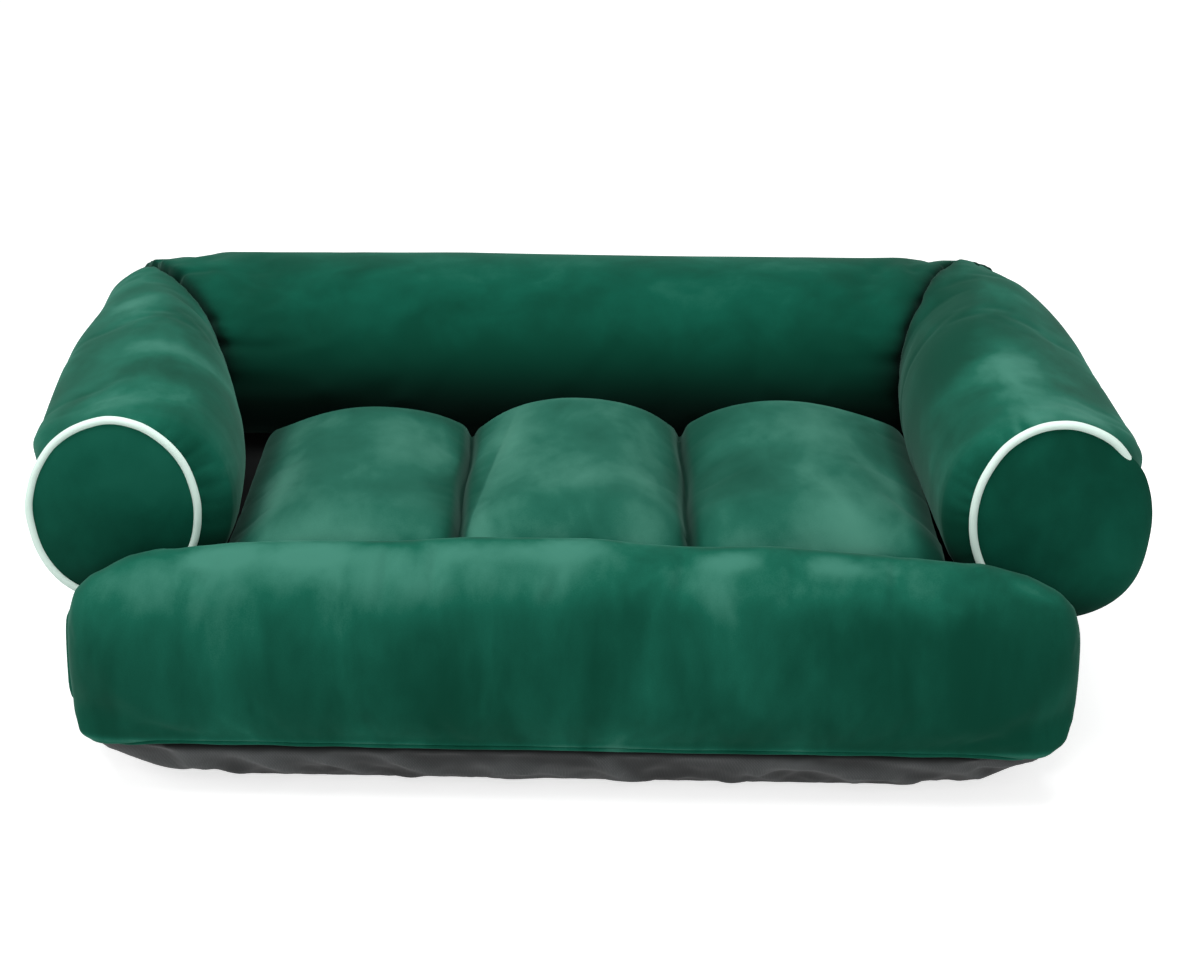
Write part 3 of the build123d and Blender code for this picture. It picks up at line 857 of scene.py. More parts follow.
CORNER_DIP = {1: -0.008, -1: 0.011}  # how far the seam draws the crown down
CROWN_LIFT = {1: 0.008, -1: 0.0}  # how much fuller the arm is beside its mitre
INNER_SHADE = {1: 0.30, -1: 0.06}  # how much painted shade darkens the side to the well


def fit_front(rows, side):
    """Leans and sizes what is at the front of an arm, less and less towards the rear."""
    x, y, z = rows.T
    near = np.clip((BACK_FACE - y) / (BACK_FACE - ARM_FRONT), 0.0, 1.0) ** 1.3
    bottom = DISC_LEVEL - DISC_HALF[1]
    middle = side * DISC_ACROSS
    x[:] = middle + (x - middle) * (1.0 + (WIDTH[side] - 1.0) * near)
    low_outer = smooth_step(-z, -DISC_LEVEL + 0.01, -bottom) * smooth_step(
        side * x, DISC_ACROSS - 0.02, DISC_ACROSS + DISC_HALF[0]
    )
    x += SKEW[side] * near + side * HEEL[side] * low_outer * near**3
    z[:] = bottom + (z - bottom) * (1.0 + (HEIGHT[side] - 1.0) * near)


def fit_corner(rows, side):
    """Draws what is beside a mitre to where its seam is sewn, arm and back alike."""
    x, y, z = rows.T
    distance = from_mitre(rows, side)
    own_side = smooth_step(x * side, 0.05, 0.2)
    high = smooth_step(z, ROLL_LEVEL - 0.03, back_high.z)
    shift = np.interp(y, *np.array(SEAM_SHIFT[side]).T)
    x += side * shift * bump_at(distance, 0.0, 0.065) * own_side
    z -= CORNER_DIP[side] * bump_at(distance, 0.0, 0.085) * own_side * high
    z += CROWN_LIFT[side] * bump_at(distance, 0.085, 0.055) * own_side * high


def seam_shade(rows, distance):
    """How dark the painted shade is beside a mitre: a thin line above, a wide one low in the well.
    """
    x, y, z = rows.T
    right = smooth_step(x, 0.0, 0.1)
    width = 0.005 + 0.002 * right + 0.016 * fade(z, 0.21, 0.26) * fade(y, 0.16, 0.24)
    return np.exp(-np.abs(distance) / width) * (0.85 + 0.1 * right)


# %% Draw an arm to its sewn outline
def draw_arm(rows, side):
    """Draws the inner side to its line, and slims and swells the outer side."""
    x, y, z = rows.T
    pull_line(
        x, y, -side, [(place, -reach) for place, reach in INNER_LINE[side]],
        fade(x * side, 0.30, 0.42) * (1.0 - 0.8 * fade(y, ARM_FRONT, ARM_FRONT + 0.02))
        * fade(y, 0.10, 0.14),
    )
    slim = fade(y, -0.2, -0.05) * fade(z, DISC_LEVEL - 0.01, DISC_LEVEL + 0.05)
    x -= side * smooth_step(x * side, 0.40, 0.45) * slim * SLIM[side]
    upper = smooth_step(z, DISC_LEVEL - 0.005, DISC_LEVEL + 0.045) * fade(z, 0.27, 0.30)
    behind = smooth_step(y, ARM_FRONT, ARM_FRONT + 0.05) * fade(y, 0.0, 0.30)
    x += side * smooth_step(x * side, 0.38, 0.43) * upper * behind * SHOULDER[side]
    z[:] = np.maximum(z, DECK)


def mark_arm_nap_and_light(arm, side, seam_distance):
    """Paints a highlight on the front of the crown and shade low down and towards the well, over
    random nap; the second mark is painted shade at the seam and low towards the well.
    """
    rows = get_points(arm)
    _, y, z = rows.T
    inward = smooth_step(-get_normals(arm)[:, 0] * side, 0.0, 0.5)
    low_side = fade(z, DECK + 0.02, DECK + 0.10)
    top_front = smooth_step(z, DECK + 0.11, DECK + 0.165) * fade(y, -0.2, 0.1)
    mark_nap_and_light(
        arm,
        0.35 * top_front * (0.5 + wander(rows, 0.06, 83)) - 0.8 * low_side
        + 0.22 * wander(rows, 0.05, 86) - INNER_SHADE[side] * inward,
        seam_shade(rows, seam_distance) + 0.9 * inward * fade(z, 0.165, 0.20),
    )


# %% Plump the arms
MITRE_FOLDS = {"count": 17, "depth": 0.0036, "reach": 0.014}
FRONT_FOLDS = {"count": 34, "depth": 0.0016, "reach": 0.012}


def make_arm(name, side):
    """A stuffed arm of one side, from its front seam to its mitre."""
    arm = start_cloth(name, f"{name}_filling", CLOTH_GRAIN, rounds=3)
    rows = get_points(arm)
    x, y, z = rows.T
    front_held = fade(y, ARM_FRONT + 0.002, ARM_FRONT + 0.016)
    held = np.maximum(front_held, hold_seam(from_mitre(rows, side), 0.003, 0.016, z))
    plump(arm, cap=0.012, held=held, slack=0.004)
    relax(arm, 6)
    subdivide(arm)
    rows = get_points(arm)
    x, y, z = rows.T
    add_waves(rows, get_normals(arm), height=0.0026, size=0.11, seed=2 + side)
    seam_distance = from_mitre(rows, side)
    fit_corner(rows, side)
    fit_front(rows, side)
    draw_arm(rows, side)
    set_points(arm, rows)
    around = np.arctan2(z - ROLL_LEVEL, x * side - ARM_MIDDLE)
    gather(arm, seam_distance, around, seed=5 + side, **MITRE_FOLDS)
    gather(arm, y - ARM_FRONT, around, seed=9 + side, **FRONT_FOLDS)
    mark_arm_nap_and_light(arm, side, seam_distance)
    finish_piece(arm, "bed", velvet_arm, (f"{name}_cover", f"{name}_filling"))


for label, side in SIDES.items():
    make_arm(f"{label}_arm", side)

# %% Plump the back
BACK_CREST = (  # across and up
    (-0.435, 0.279), (-0.410, 0.291), (-0.382, 0.297), (-0.344, 0.300), (-0.267, 0.302),
    (-0.191, 0.304), (-0.115, 0.306), (0.112, 0.306), (0.264, 0.307), (0.340, 0.306),
    (0.358, 0.305), (0.385, 0.298), (0.42, 0.275),
)
back_roll = start_cloth("back_roll", "back_bolster_filling", 0.006, rounds=3)
rows = get_points(back_roll)
x, y, z = rows.T
nearest_mitre = np.minimum(-from_mitre(rows, 1), -from_mitre(rows, -1))
plump(back_roll, cap=0.009, held=hold_seam(nearest_mitre, 0.003, 0.018, z), slack=0.008)
relax(back_roll, 4)
subdivide(back_roll)
rows = get_points(back_roll)
x, y, z = rows.T
add_waves(rows, get_normals(back_roll), height=0.003, size=0.12, seed=3, stretch=(0.7, 1.0, 1.0))
seam_distances = {side: from_mitre(rows, side) for side in SIDES.values()}
for side in SIDES.values():
    fit_corner(rows, side)
pull_line(z, x, 1, BACK_CREST, smooth_step(z, ROLL_LEVEL - 0.02, 0.29))
z[:] = np.maximum(z, DECK)
set_points(back_roll, rows)
around = np.arctan2(z - ROLL_LEVEL, y - (BACK_FACE + back_high.y) / 2)
for side, seed in ((1, 12), (-1, 14)):
    gather(back_roll, seam_distances[side], around, seed=seed, **MITRE_FOLDS)

# %% Paint shade on it, low down and in its creases
rows = get_points(back_roll)
x, y, z = rows.T
in_well = fade(y, 0.17, 0.24) * fade(np.abs(x), 0.31, 0.36)
corner_shade = bump_at(x, -0.31, 0.07) * fade(z, 0.22, 0.29) * in_well
# Painted shade: darker low down and in the corner, and near black in the well and at the mitre
# seams.
mark_nap_and_light(
    back_roll, -0.75 * fade(z, 0.20, 0.285) - 0.3 * corner_shade,
    np.maximum.reduce([
        0.93 * fade(z, 0.178, 0.248) * in_well, 0.3 * corner_shade,
        seam_shade(rows, seam_distances[1]), seam_shade(rows, seam_distances[-1]),
    ]),
)
finish_piece(
    back_roll, "bed", velvet_back_shaded, ("back_bolster_cover", "back_bolster_filling")
)

# %% [markdown]
# ## Front discs and piping
# Each arm ends in a flat oval of velvet, sewn in with a pale piping round it. The disc is a
# sphere pressed flat, crowned in front and drawn out to an oval, so its edge is closed without a
# seam. The piping is a ring of round cord in its own cloth, with the small unevenness that a
# bias strip takes when it is sewn round a curve.

# %% Make the discs and their piping
DISC_CROWN = 0.0085
DISC_BACK = 0.003
PUFF_OUT, PUFF_WIDE = 0.0048, 0.006  # how far the stuffing pushes over the piping
TUCK_IN, TUCK_BACK = 0.0022, 0.0030  # how far the piping gives way there
DISC_SHADE = {1: -0.2, -1: 0.25}  # painted light on the upper half: lighter on the left disc, darker on the right


def puffed(rows, side):
    """How far the right disc's stuffing pushes it over its piping, at its lower outer side."""
    x, _, z = rows.T
    turn = np.arctan2(z, x)
    shares = fade(turn, 0.45, 1.0) * smooth_step(turn, -2.1, -1.5)
    shares = shares * smooth_step(np.hypot(x, z), 0.45, 0.95)
    return shares if side > 0 else shares * 0.0


def make_disc(name, side, node):
    """A crowned oval of velvet with a closed back, from a sphere pressed flat."""
    bpy.ops.mesh.primitive_uv_sphere_add(
        segments=128, ring_count=64, radius=1.0, rotation=(pi / 2, 0.0, 0.0)
    )
    disc = settle_primitive(name)
    rows = get_points(disc)
    x, y, z = rows.T
    out = np.hypot(x, z)
    ripple = wander(rows, 0.45, 20 + side) * 0.0011 + wander(rows, 0.16, 24 + side) * 0.0004
    crown = np.clip(1.0 - out**2.6, 0.0, 1.0) ** 0.8 * DISC_CROWN + ripple * (1.0 - out)
    puff = puffed(rows, side)
    crown += puff * PUFF_OUT * np.clip(1.0 - out**14, 0.0, 1.0)
    y[:] = PIPING_PLANE + np.where(y < 0.0, -crown, DISC_BACK * np.sqrt(1.0 - out**2 + 1e-9))
    edge = PIPING_RADIUS * 0.35
    x[:] = x * (DISC_HALF[0] - edge + PUFF_WIDE * puff) + side * DISC_ACROSS
    z[:] = z * (DISC_HALF[1] - edge + PUFF_WIDE * puff) + DISC_LEVEL
    fit_front(rows, side)
    set_points(disc, rows)
    shade_smooth(disc)
    # Painted shade: each disc is darker, and nearly black, low down above the front roll.
    low = fade(z + 0.25 * side * (x - side * DISC_ACROSS), 0.135, 0.185)
    mark_nap_and_light(disc, DISC_SHADE[side] * smooth_step(z, 0.17, 0.25) - 0.4 * low, 0.75 * low)
    finish_piece(disc, "bed", velvet_disc, (node,))


def make_piping(name, side, nodes):
    """A ring of cord in bias cloth, drawn out to the disc's oval."""
    bpy.ops.mesh.primitive_torus_add(
        major_segments=260, minor_segments=24, major_radius=DISC_HALF[0],
        minor_radius=PIPING_RADIUS, rotation=(pi / 2, 0.0, 0.0),
    )
    ring = settle_primitive(name)
    rows = get_points(ring)
    x, y, z = rows.T
    out = np.hypot(x, z)
    across, up = x / out, z / out
    z += (DISC_HALF[1] - DISC_HALF[0]) * up
    loop = np.stack([across, up, up * 0.0 + side], 1)
    tucked = puffed(np.stack([across, up, up], 1), side)
    uneven = wander(loop, 0.3, 25) * 0.0007 - TUCK_IN * tucked
    x += across * uneven + side * DISC_ACROSS
    z += up * uneven + DISC_LEVEL
    y += PIPING_PLANE + wander(loop, 0.4, 26) * 0.0008 + TUCK_BACK * tucked
    fit_front(rows, side)
    set_points(ring, rows)
    shade_smooth(ring)
    finish_piece(ring, "bed", piping_cloth, nodes)


for label, side in SIDES.items():
    make_disc(f"{label}_disc", side, f"{label}_arm_disc")
for label, side in SIDES.items():
    make_piping(f"{label}_piping", side, (f"{label}_arm_piping", f"{label}_piping_cord"))

# %% [markdown]
# ## The cushion
# The cushion has three stuffed channels, divided by two seams that are sewn down to baffles
# inside. It starts as a box of cloth with a fine grid, crowned channel by channel, and is then
# plumped with the seams held. Its lower edge is a seam too: the cushion is cut there into its
# velvet top and its velvet bottom, which meet edge to edge.

# %% Shape the cushion's box
seat_low, seat_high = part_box("cushion_top_cover")
SEAT_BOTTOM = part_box("cushion_bottom_cover")[0].z
SEAT_SEAM = seat_low.z
SEAT_HALF = seat_high.x
SEAT_FRONT, SEAT_REAR = seat_low.y, seat_high.y
SEAT_MIDDLE = (SEAT_FRONT + SEAT_REAR) / 2
SEAT_CROWN = seat_high.z - SEAT_BOTTOM - 0.004
SEAT_VALLEY, SEAT_SHOULDER, SEAT_RIM = 0.045, 0.036, 0.030  # heights over its bottom
RIGHT_SHOULDER_RISE = 0.019
SEAT_END = 0.07  # how long the rounded ends are
SEAT_CLEARANCE = 0.006
SEAT_WAIST = 0.018  # the share by which its walls draw in at their foot and top
CROWNS = (-0.003, 0.009, 0.009)  # each channel's crown over or under the usual height
VALLEYS = (-0.0955, 0.0925)

bpy.ops.mesh.primitive_cube_add(size=1.0)
cushion = settle_primitive(
    "cushion_top", location=(0.0, SEAT_MIDDLE, 0.5),
    scale=(2 * SEAT_HALF - SEAT_CLEARANCE, SEAT_REAR - SEAT_FRONT - SEAT_CLEARANCE, 1.0),
)
edit_all(cushion, bpy.ops.mesh.subdivide, number_cuts=95)


def round_over(share):
    """The height of a round arch at a share of its width: 0 at 0 and 1, and 1 in the middle."""
    return np.sqrt(np.clip(1.0 - (2.0 * share - 1.0) ** 2, 0.0, 1.0))


def seat_height(x, y):
    """The cushion's height over its bottom at each point of its plan."""
    edges = np.array([-SEAT_HALF, *VALLEYS, SEAT_HALF])
    lobe = np.clip(np.searchsorted(edges, x) - 1, 0, 2)
    share = (x - edges[lobe]) / (edges[lobe + 1] - edges[lobe])
    foot = np.where(
        (lobe == 0) & (share < 0.5), SEAT_SHOULDER,
        np.where((lobe == 2) & (share > 0.5), SEAT_SHOULDER + RIGHT_SHOULDER_RISE, SEAT_VALLEY),
    )
    crown = SEAT_CROWN + np.array(CROWNS)[lobe]
    across = foot + (crown - foot) * round_over(share) ** 1.35
    end = np.clip(np.minimum(y - SEAT_FRONT, SEAT_REAR - y) / SEAT_END, 0.0, 1.0)
    return SEAT_RIM + (across - SEAT_RIM) * round_over(end / 2)


rows = get_points(cushion)
x, y, z = rows.T
waist = 1.0 - SEAT_WAIST * (1.0 - round_over(z))
z[:] = SEAT_BOTTOM + seat_height(x, y) * z
x *= waist
y[:] = SEAT_MIDDLE + (y - SEAT_MIDDLE) * waist
set_points(cushion, rows)
remesh(cushion, CLOTH_GRAIN, rounds=2)
print("cushion cloth", len(cushion.data.vertices), "points")

# %% Plump the cushion with its seams held
x, y, z = get_points(cushion).T
held = np.maximum(
    fade(z, SEAT_SEAM - 0.002, SEAT_SEAM + 0.008),
    smooth_step(y, SEAT_REAR - 0.02, SEAT_REAR - 0.008),
)
for valley in VALLEYS:
    held = np.maximum(held, bump_at(x, valley, 0.0045))
plump(cushion, cap=0.008, held=held, slack=0.003)
calm(cushion, 1.0 - held, 5)
subdivide(cushion)

# %% Seams, gathers and the nap crease
VALLEY_DEPTH, PULL_DEPTH, CREASE_DEPTH = 0.009, 0.0012, 0.0018
LEFT_PUSH, RIGHT_PUSH = 0.013, 0.025  # how far the sides swell out towards the arms


def nap_line(y):
    """Where the left channel's nap crease runs, at each point's depth."""
    return -0.094 + (y + 0.25) * 0.12


rows, facing = get_points(cushion), get_normals(cushion)
x, y, z = rows.T
up = smooth_step(facing[:, 2], 0.1, 0.6)
add_waves(rows, facing, height=0.0022 * up, size=0.085, seed=31)
for valley, seed in zip(VALLEYS, (33, 35)):
    drift = valley + 0.0016 * np.sin(y * 34.0 + seed)
    z -= VALLEY_DEPTH * bump_at(x, drift, 0.0042) * up
    pull = np.clip(wander(rows * (0.3, 1.0, 0.3), 0.035, seed), 0.0, 1.0)
    z -= PULL_DEPTH * bump_at(x, drift, 0.016) * up * pull
z -= CREASE_DEPTH * bump_at(x, nap_line(y), 0.006) * up * fade(y, -0.02, 0.08)
full = bump_at(z, SEAT_BOTTOM + 0.022, 0.020)
x -= LEFT_PUSH * full * smooth_step(-x, 0.22, SEAT_HALF)
full = bump_at(z, SEAT_BOTTOM + 0.038, 0.028)
x += RIGHT_PUSH * full * smooth_step(x, 0.21, SEAT_HALF)
x[:] = np.clip(x, -SEAT_HALF - 0.011, SEAT_HALF + 0.021)
y[:] = np.clip(y, SEAT_FRONT - 0.002, SEAT_REAR)
z[:] = np.maximum(z, SEAT_BOTTOM)
set_points(cushion, rows)

# %% Cut it at its seam
cushion_bottom = duplicate(cushion, "cushion_bottom")


def cut_away(piece, place, direction, outer=True):
    """Cuts a closed piece at a plane, keeps one side and closes the cut."""
    edit_all(
        piece, bpy.ops.mesh.bisect, plane_co=place, plane_no=direction, use_fill=True,
        clear_outer=outer, clear_inner=not outer,
    )


cut_away(cushion, (0.0, 0.0, SEAT_SEAM), (0.0, 0.0, 1.0), outer=False)
cut_away(cushion_bottom, (0.0, 0.0, SEAT_SEAM), (0.0, 0.0, 1.0))

# %% [markdown]
# ## Zip slots
# Each zip lies a little inside its wall, between two turned-in lips of velvet. The slot is cut
# with a box, which is quicker and cleaner than moving points, and its edge is then a fold.

# %% Cut a slot
SLOT_HALF_HEIGHT = 0.0065


def cut_slot(piece, tapes, wall):
    """Takes a box out of a wall at y = wall, as deep as a zip's tapes lie."""
    low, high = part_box(tapes)
    middle = (low.z + high.z) / 2
    low = (low.x, high.y, middle - SLOT_HALF_HEIGHT)
    high = (high.x, wall + 0.02, middle + SLOT_HALF_HEIGHT)
    bpy.ops.mesh.primitive_cube_add(size=1.0)
    box = settle_primitive(
        "slot", scale=[b - a for a, b in zip(low, high)],
        location=[(a + b) / 2 for a, b in zip(low, high)],
    )
    apply_modifier(piece, "BOOLEAN", operation="DIFFERENCE", object=box, solver="MANIFOLD")
    bpy.data.objects.remove(box)


cut_slot(cushion, "cushion_zip_tapes", SEAT_REAR)

# %% Mark the seat's nap, and paint its light and shade
rows = get_points(cushion)
x, y, z = rows.T
wall = fade(z, SEAT_BOTTOM + 0.02, SEAT_BOTTOM + 0.055)
furrow = sum(bump_at(x, valley, 0.007) for valley in VALLEYS)
beside = sum(bump_at(x, valley, 0.022) for valley in VALLEYS)
past_line = x - nap_line(y)
swept = smooth_step(past_line, 0.0, 0.004) * np.exp(-np.maximum(past_line, 0.0) / 0.03)
swept *= fade(y, -0.05, 0.08)
edge = np.maximum(smooth_step(-x, 0.245, 0.283), smooth_step(x, 0.265, 0.292))
# The random nap and the nap crease are the cloth's own; the lighter top, the darker furrows, walls
# and edges, and the near black at the foot and in the furrows are painted light and shade.
mark_nap_and_light(
    cushion,
    (0.15 + 0.30 * wander(rows * (1.0, 0.5, 0.3), 0.07, 85)) * (1.0 - wall) + 0.4 * swept
    - 0.9 * furrow - 0.35 * beside - 0.6 * np.maximum(wall, edge),
    np.maximum.reduce([
        0.95 * fade(z, SEAT_BOTTOM + 0.014, SEAT_BOTTOM + 0.040), 0.85 * furrow**2, 0.6 * edge,
    ]),
)
top_nodes = ("cushion_top_cover", "left_cushion_baffle", "right_cushion_baffle",
             "left_cushion_filling", "middle_cushion_filling", "right_cushion_filling")
finish_piece(cushion, "cushion", velvet_seat, top_nodes)
finish_piece(cushion_bottom, "cushion", velvet_seat, ("cushion_bottom_cover",))

# %% [markdown]
# ## The base
# Under the arms and the back, velvet bands are drawn round a block of foam. Foam is firm, so no
# simulation is needed: the points between the two seams move a little outwards, and the bands
# belly. Over the zip the wall is kept outside the tapes. The block is then cut at the two side
# seams into a right, a left and a rear panel, each with its share of the foam.

# %% Plump the base
BAND_BELLY = 0.0025
base_low, base_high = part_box("rear_band")
BASE_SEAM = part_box("right_side_band")[1].y
FOAM_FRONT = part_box("base_foam")[0].y
zip_low, zip_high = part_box("base_zip_tapes")
base = start_cloth("rear_panel", "base_foam", COARSE_GRAIN, rounds=2)
rows = get_points(base)
x, y, z = rows.T
free = 1.0 - np.maximum(
    fade(z, base_low.z + 0.004, base_low.z + 0.014),
    smooth_step(z, base_high.z - 0.014, base_high.z - 0.006),
)
set_points(base, rows + get_normals(base) * (BAND_BELLY * free)[:, None])
subdivide(base)
rows, facing = get_points(base), get_normals(base)
x, y, z = rows.T
add_waves(rows, facing, height=0.0016, size=0.05, seed=41, stretch=(0.5, 0.5, 1.0))
z[:] = np.clip(z, base_low.z + 0.0005, base_high.z - 0.002)
y[:] = np.clip(y, FOAM_FRONT, base_high.y)
over_zip = (
    (facing[:, 1] > 0.7) * fade(np.abs(z - (zip_low.z + zip_high.z) / 2), 0.012, 0.026)
    * fade(np.abs(x), zip_high.x + 0.004, zip_high.x + 0.02)
)
y += np.maximum(zip_high.y + 0.002 - y, 0.0) * over_zip
set_points(base, rows)

# %% Cut its panels
panels = {side: duplicate(base, f"{side}_side_panel") for side in SIDES}
cut_away(base, (0.0, BASE_SEAM, 0.0), (0.0, 1.0, 0.0), outer=False)
for side, panel in panels.items():
    cut_away(panel, (0.0, BASE_SEAM, 0.0), (0.0, 1.0, 0.0))
    cut_away(panel, (0.0, 0.0, 0.0), (float(SIDES[side]), 0.0, 0.0), outer=False)
    finish_piece(panel, "bed", velvet_front, (f"{side}_side_band",))
cut_slot(base, "base_zip_tapes", base_high.y)
finish_piece(base, "bed", velvet_front, ("rear_band", "base_foam"))

# %% [markdown]
# ## The dark underside
# Below the velvet the bed is closed by a loose dark cloth, fuller than it needs to be, so it
# hangs in soft slanting folds between its seam and the floor. Spare cloth is given in the
# simulation by a negative shrink, which is what makes a real cover wrinkle. Its own wrinkles are
# small, so the few long folds are drawn on top of them as slanting ridges of noise.

# %% Plump and fold the underside
FOLD_HEIGHT = 0.0065
under_low, under_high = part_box("underside_cloth")
underside = start_cloth("underside", "underside_pad", COARSE_GRAIN, rounds=3)
x, y, z = get_points(underside).T
held = np.maximum(
    smooth_step(z, under_high.z - 0.012, under_high.z - 0.004), fade(z, 0.004, 0.016)
)
plump(underside, cap=0.009, held=held, slack=0.05, pressure=2.0)
subdivide(underside)
rows = get_points(underside)
x, y, z = rows.T
wall = smooth_step(z, 0.008, 0.030) * fade(z, under_high.z - 0.010, under_high.z - 0.001)
slanted = x + y * 0.35 + z * 1.6
ridges = 1.0 - np.abs(wander(np.stack([slanted, y * 0.5, z * 0.8], 1), 0.055, 51))
fine = 1.0 - np.abs(wander(np.stack([slanted, y, z], 1), 0.022, 53))
folds = (ridges**4 * FOLD_HEIGHT + fine**4 * 0.001 - 0.0035) * wall
set_points(underside, rows + get_normals(underside) * folds[:, None])
relax(underside, 5)

# %% Set it on the floor and shade its folds
FLOOR_PRESS = 0.0026  # how much of the puffed sole is pressed flat
FRONT_SPREAD, FRONT_HALF = 0.003, 0.386
rows = get_points(underside)
x, y, z = rows.T
z[:] = np.clip((z - FLOOR_PRESS) * 1.06, 0.0, under_high.z)
front_ends = smooth_step(np.abs(x), 0.20, 0.33) * fade(y, -0.24, -0.12)
x += np.sign(x) * FRONT_SPREAD * front_ends
reach = np.where(y < -0.15, FRONT_HALF, 1.0)
x[:] = np.clip(x, -reach, reach)
set_points(underside, rows)
# Painted shade: near black along the floor and under the velvet's edge, and darker in the troughs
# between folds.
mark_nap_and_light(
    underside, ridges * 0.0,
    np.maximum.reduce([
        0.93 * fade(z, 0.001, 0.015),
        0.85 * smooth_step(z, under_high.z - 0.008, under_high.z - 0.002),
        0.62 * fade(ridges, 0.55, 0.95),
    ]),
)
finish_piece(
    underside, "bed", dark_cloth, ("underside_cloth", "underside_pad")
)

# %% [markdown]
# ## The deck
# With the cushion out, the well shows a flat dark cloth, drawn over the foam and sewn in under
# the rolls. It is one sheet: a grid with shallow dips where the foam gives, and a thickness.

# %% Make the deck
deck_low, deck_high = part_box("deck_cloth")
DECK_SIZE = (0.70, deck_high.y - deck_low.y - 0.06)
bpy.ops.mesh.primitive_grid_add(x_subdivisions=120, y_subdivisions=90, size=1.0)
deck = settle_primitive(
    "deck", scale=(*DECK_SIZE, 1.0),
    location=(0.0, (deck_low.y + deck_high.y) / 2 - 0.028, deck_high.z - 0.0006),
)
rows = get_points(deck)
rows[:, 2] += np.minimum(wander(rows, 0.12, 61) * 0.0007, 0.0)
set_points(deck, rows)
apply_modifier(deck, "SOLIDIFY", thickness=0.0012, offset=-1.0)
shade_smooth(deck)
finish_piece(deck, "bed", deck_twill_shaded, ("deck_cloth",))

# %% [markdown]
# ## The welt
# Where the velvet meets the dark cloth the seam allowance makes a narrow roll. It is a thin tube
# of velvet along the seam. Rays cast inwards find where the panels are, so the tube lies on
# them, and along the front it follows the roll's foot instead. A little noise keeps it from
# looking drawn with a ruler.

# %% The line of the seam
RIM_CORNERS = (0.11, 0.06)  # how round the front and the rear corners are
RIM_STEP = 0.006
RIM_INSET = 0.1


def rounded_plan(half, front, rear, level):
    """Points round a rectangle with round corners, anticlockwise from above."""
    line = []
    for x_side, y_edge, start in ((1, front, -90), (1, rear, 0), (-1, rear, 90), (-1, front, 180)):
        corner = RIM_CORNERS[y_edge == rear]
        centre_x = x_side * (half - corner)
        centre_y = y_edge + corner if y_edge == front else y_edge - corner
        for turn in np.radians(np.linspace(start, start + 90, int(corner * 1.57 / RIM_STEP))):
            line.append((centre_x + corner * cos(turn), centre_y + corner * sin(turn), level))
    filled = []
    for here, there in zip(line, line[1:] + line[:1]):
        count = max(1, round(hypot(there[0] - here[0], there[1] - here[1]) / RIM_STEP))
        for part in range(count):
            filled.append([a + (b - a) * (part / count) for a, b in zip(here, there)])
    return np.array(filled)


rim_line = rounded_plan(
    under_high.x + 0.0005, under_low.y - 0.002, under_high.y + 0.0005, under_high.z + 0.001
)
for index, planned in enumerate(rim_line.copy()):
    inner = np.clip(
        planned, (RIM_INSET - under_high.x, under_low.y + RIM_INSET, 0.0),
        (under_high.x - RIM_INSET, under_high.y - RIM_INSET, 1.0),
    )
    outward = Vector(planned - inner).normalized()
    start = Vector((planned[0], planned[1], base_low.z + 0.004)) + outward * 0.04
    hits = [
        panel.ray_cast(start, -outward, distance=0.12) for panel in (base, *panels.values())
    ]
    spots = [spot for found, spot, _, _ in hits if found]
    point = planned
    if spots:
        nearest = min(spots, key=lambda spot: (spot - start).length)
        point = np.array((nearest.x, nearest.y, planned[2]))
    on_roll = np.array(front_roll.closest_point_on_mesh(Vector(planned))[1])
    rim_line[index] = point + (on_roll - point) * fade(planned[1], -0.285, -0.225)

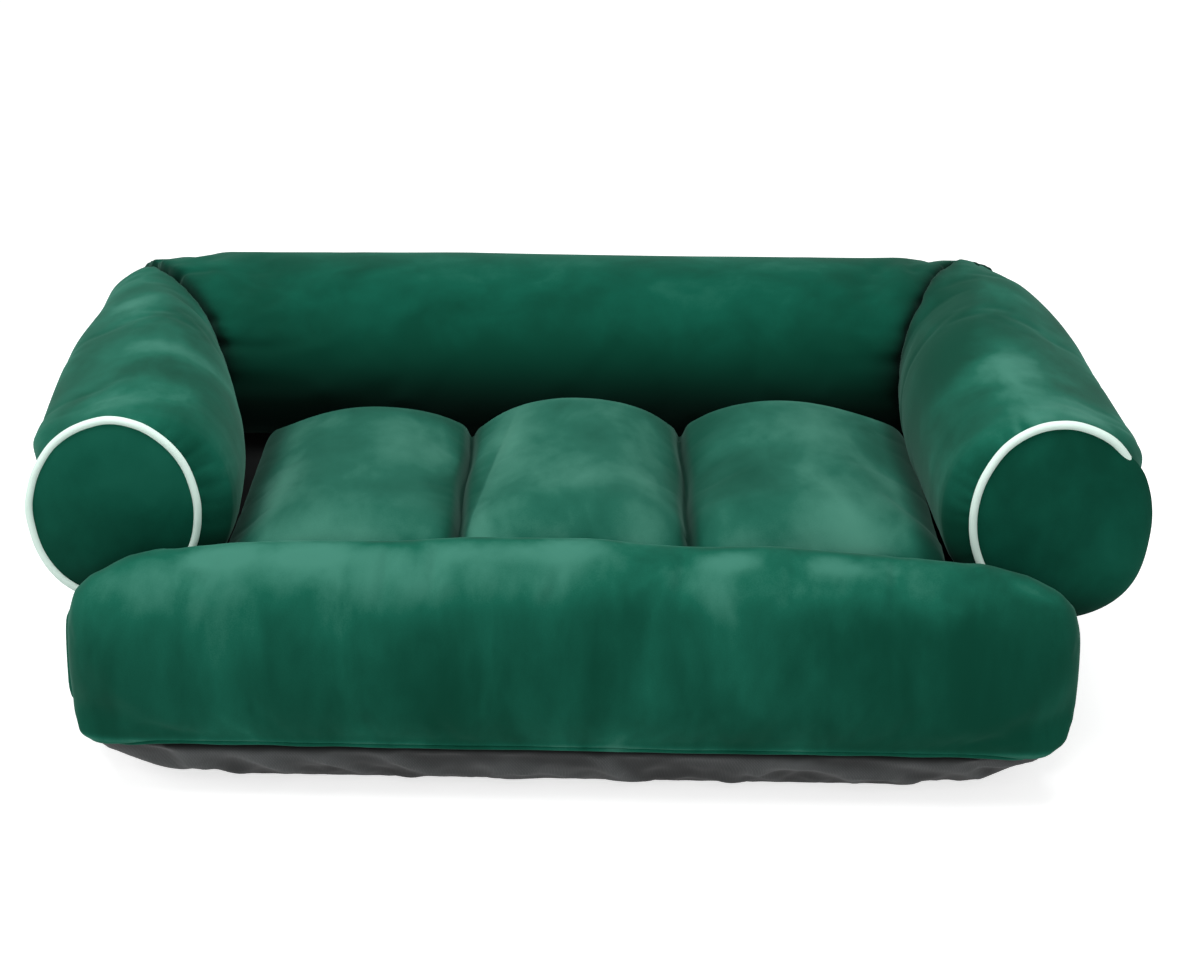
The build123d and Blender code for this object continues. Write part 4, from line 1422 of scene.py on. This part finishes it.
# %% Make the welt along it
WELT_RADIUS = 0.0018
WELT_NOISE = 0.0005
rim_line += np.stack([wander(rim_line, 0.03, seed) for seed in (71, 72, 73)], 1) * WELT_NOISE
curve = bpy.data.curves.new("rim_welt", "CURVE")
curve.dimensions = "3D"
curve.bevel_depth = WELT_RADIUS
curve.bevel_resolution = 3
spline = curve.splines.new("POLY")
spline.points.add(len(rim_line) - 1)
for point, place in zip(spline.points, rim_line):
    point.co = (*place, 1.0)
spline.use_cyclic_u = True
rim_welt = bpy.data.objects.new("rim_welt", curve)
scene.collection.objects.link(rim_welt)
pick(rim_welt)
bpy.ops.object.convert(target="MESH")
shade_smooth(rim_welt)
finish_piece(rim_welt, "bed", velvet_front)

# %% [markdown]
# ## Zips
# A coil zip is two rows of nylon loops, sewn to tapes, that hook between each other. One loop is
# modelled, bent from a small ring, and repeated along each side, half a step apart. The tapes,
# the end stops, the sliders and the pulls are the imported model's own pieces, with their cloth
# and metal.

# %% Make the teeth of a zip
TOOTH_PITCH = 0.0024
ROW_GAP = 0.0018


def make_teeth(prefix, body):
    """Two rows of loops along a zip's coil."""
    low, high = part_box(f"{prefix}_zip_coil")
    bpy.ops.mesh.primitive_torus_add(
        major_segments=10, minor_segments=5, major_radius=0.00125, minor_radius=0.0004,
        rotation=(pi / 2, 0.0, 0.0),
    )
    teeth = settle_primitive(f"{prefix}_zip_teeth", scale=(0.62, 1.25, 1.05))
    rows = get_points(teeth)
    rows += (
        low.x + TOOTH_PITCH * 0.35, high.y - 0.0006, (low.z + high.z) / 2 - ROW_GAP / 2
    )
    set_points(teeth, rows)
    for count, offset in (
        (int((high.x - low.x) / TOOTH_PITCH), (TOOTH_PITCH, 0.0, 0.0)),
        (2, (TOOTH_PITCH / 2, 0.0, ROW_GAP)),
    ):
        apply_modifier(
            teeth, "ARRAY", count=count, use_relative_offset=False, use_constant_offset=True,
            constant_offset_displace=offset,
        )
    shade_smooth(teeth)
    finish_piece(teeth, body, coil_nylon, (f"{prefix}_zip_coil",))


ZIP_FINISH = {"tapes": tape_cloth, "stops": nickel, "slider": nickel, "pull": nickel}
for prefix, body in (("base", "bed"), ("cushion", "cushion")):
    make_teeth(prefix, body)
    for part, material in ZIP_FINISH.items():
        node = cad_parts[f"{prefix}_zip_{part}"]
        node.data.materials.clear()
        node.data.materials.append(material)
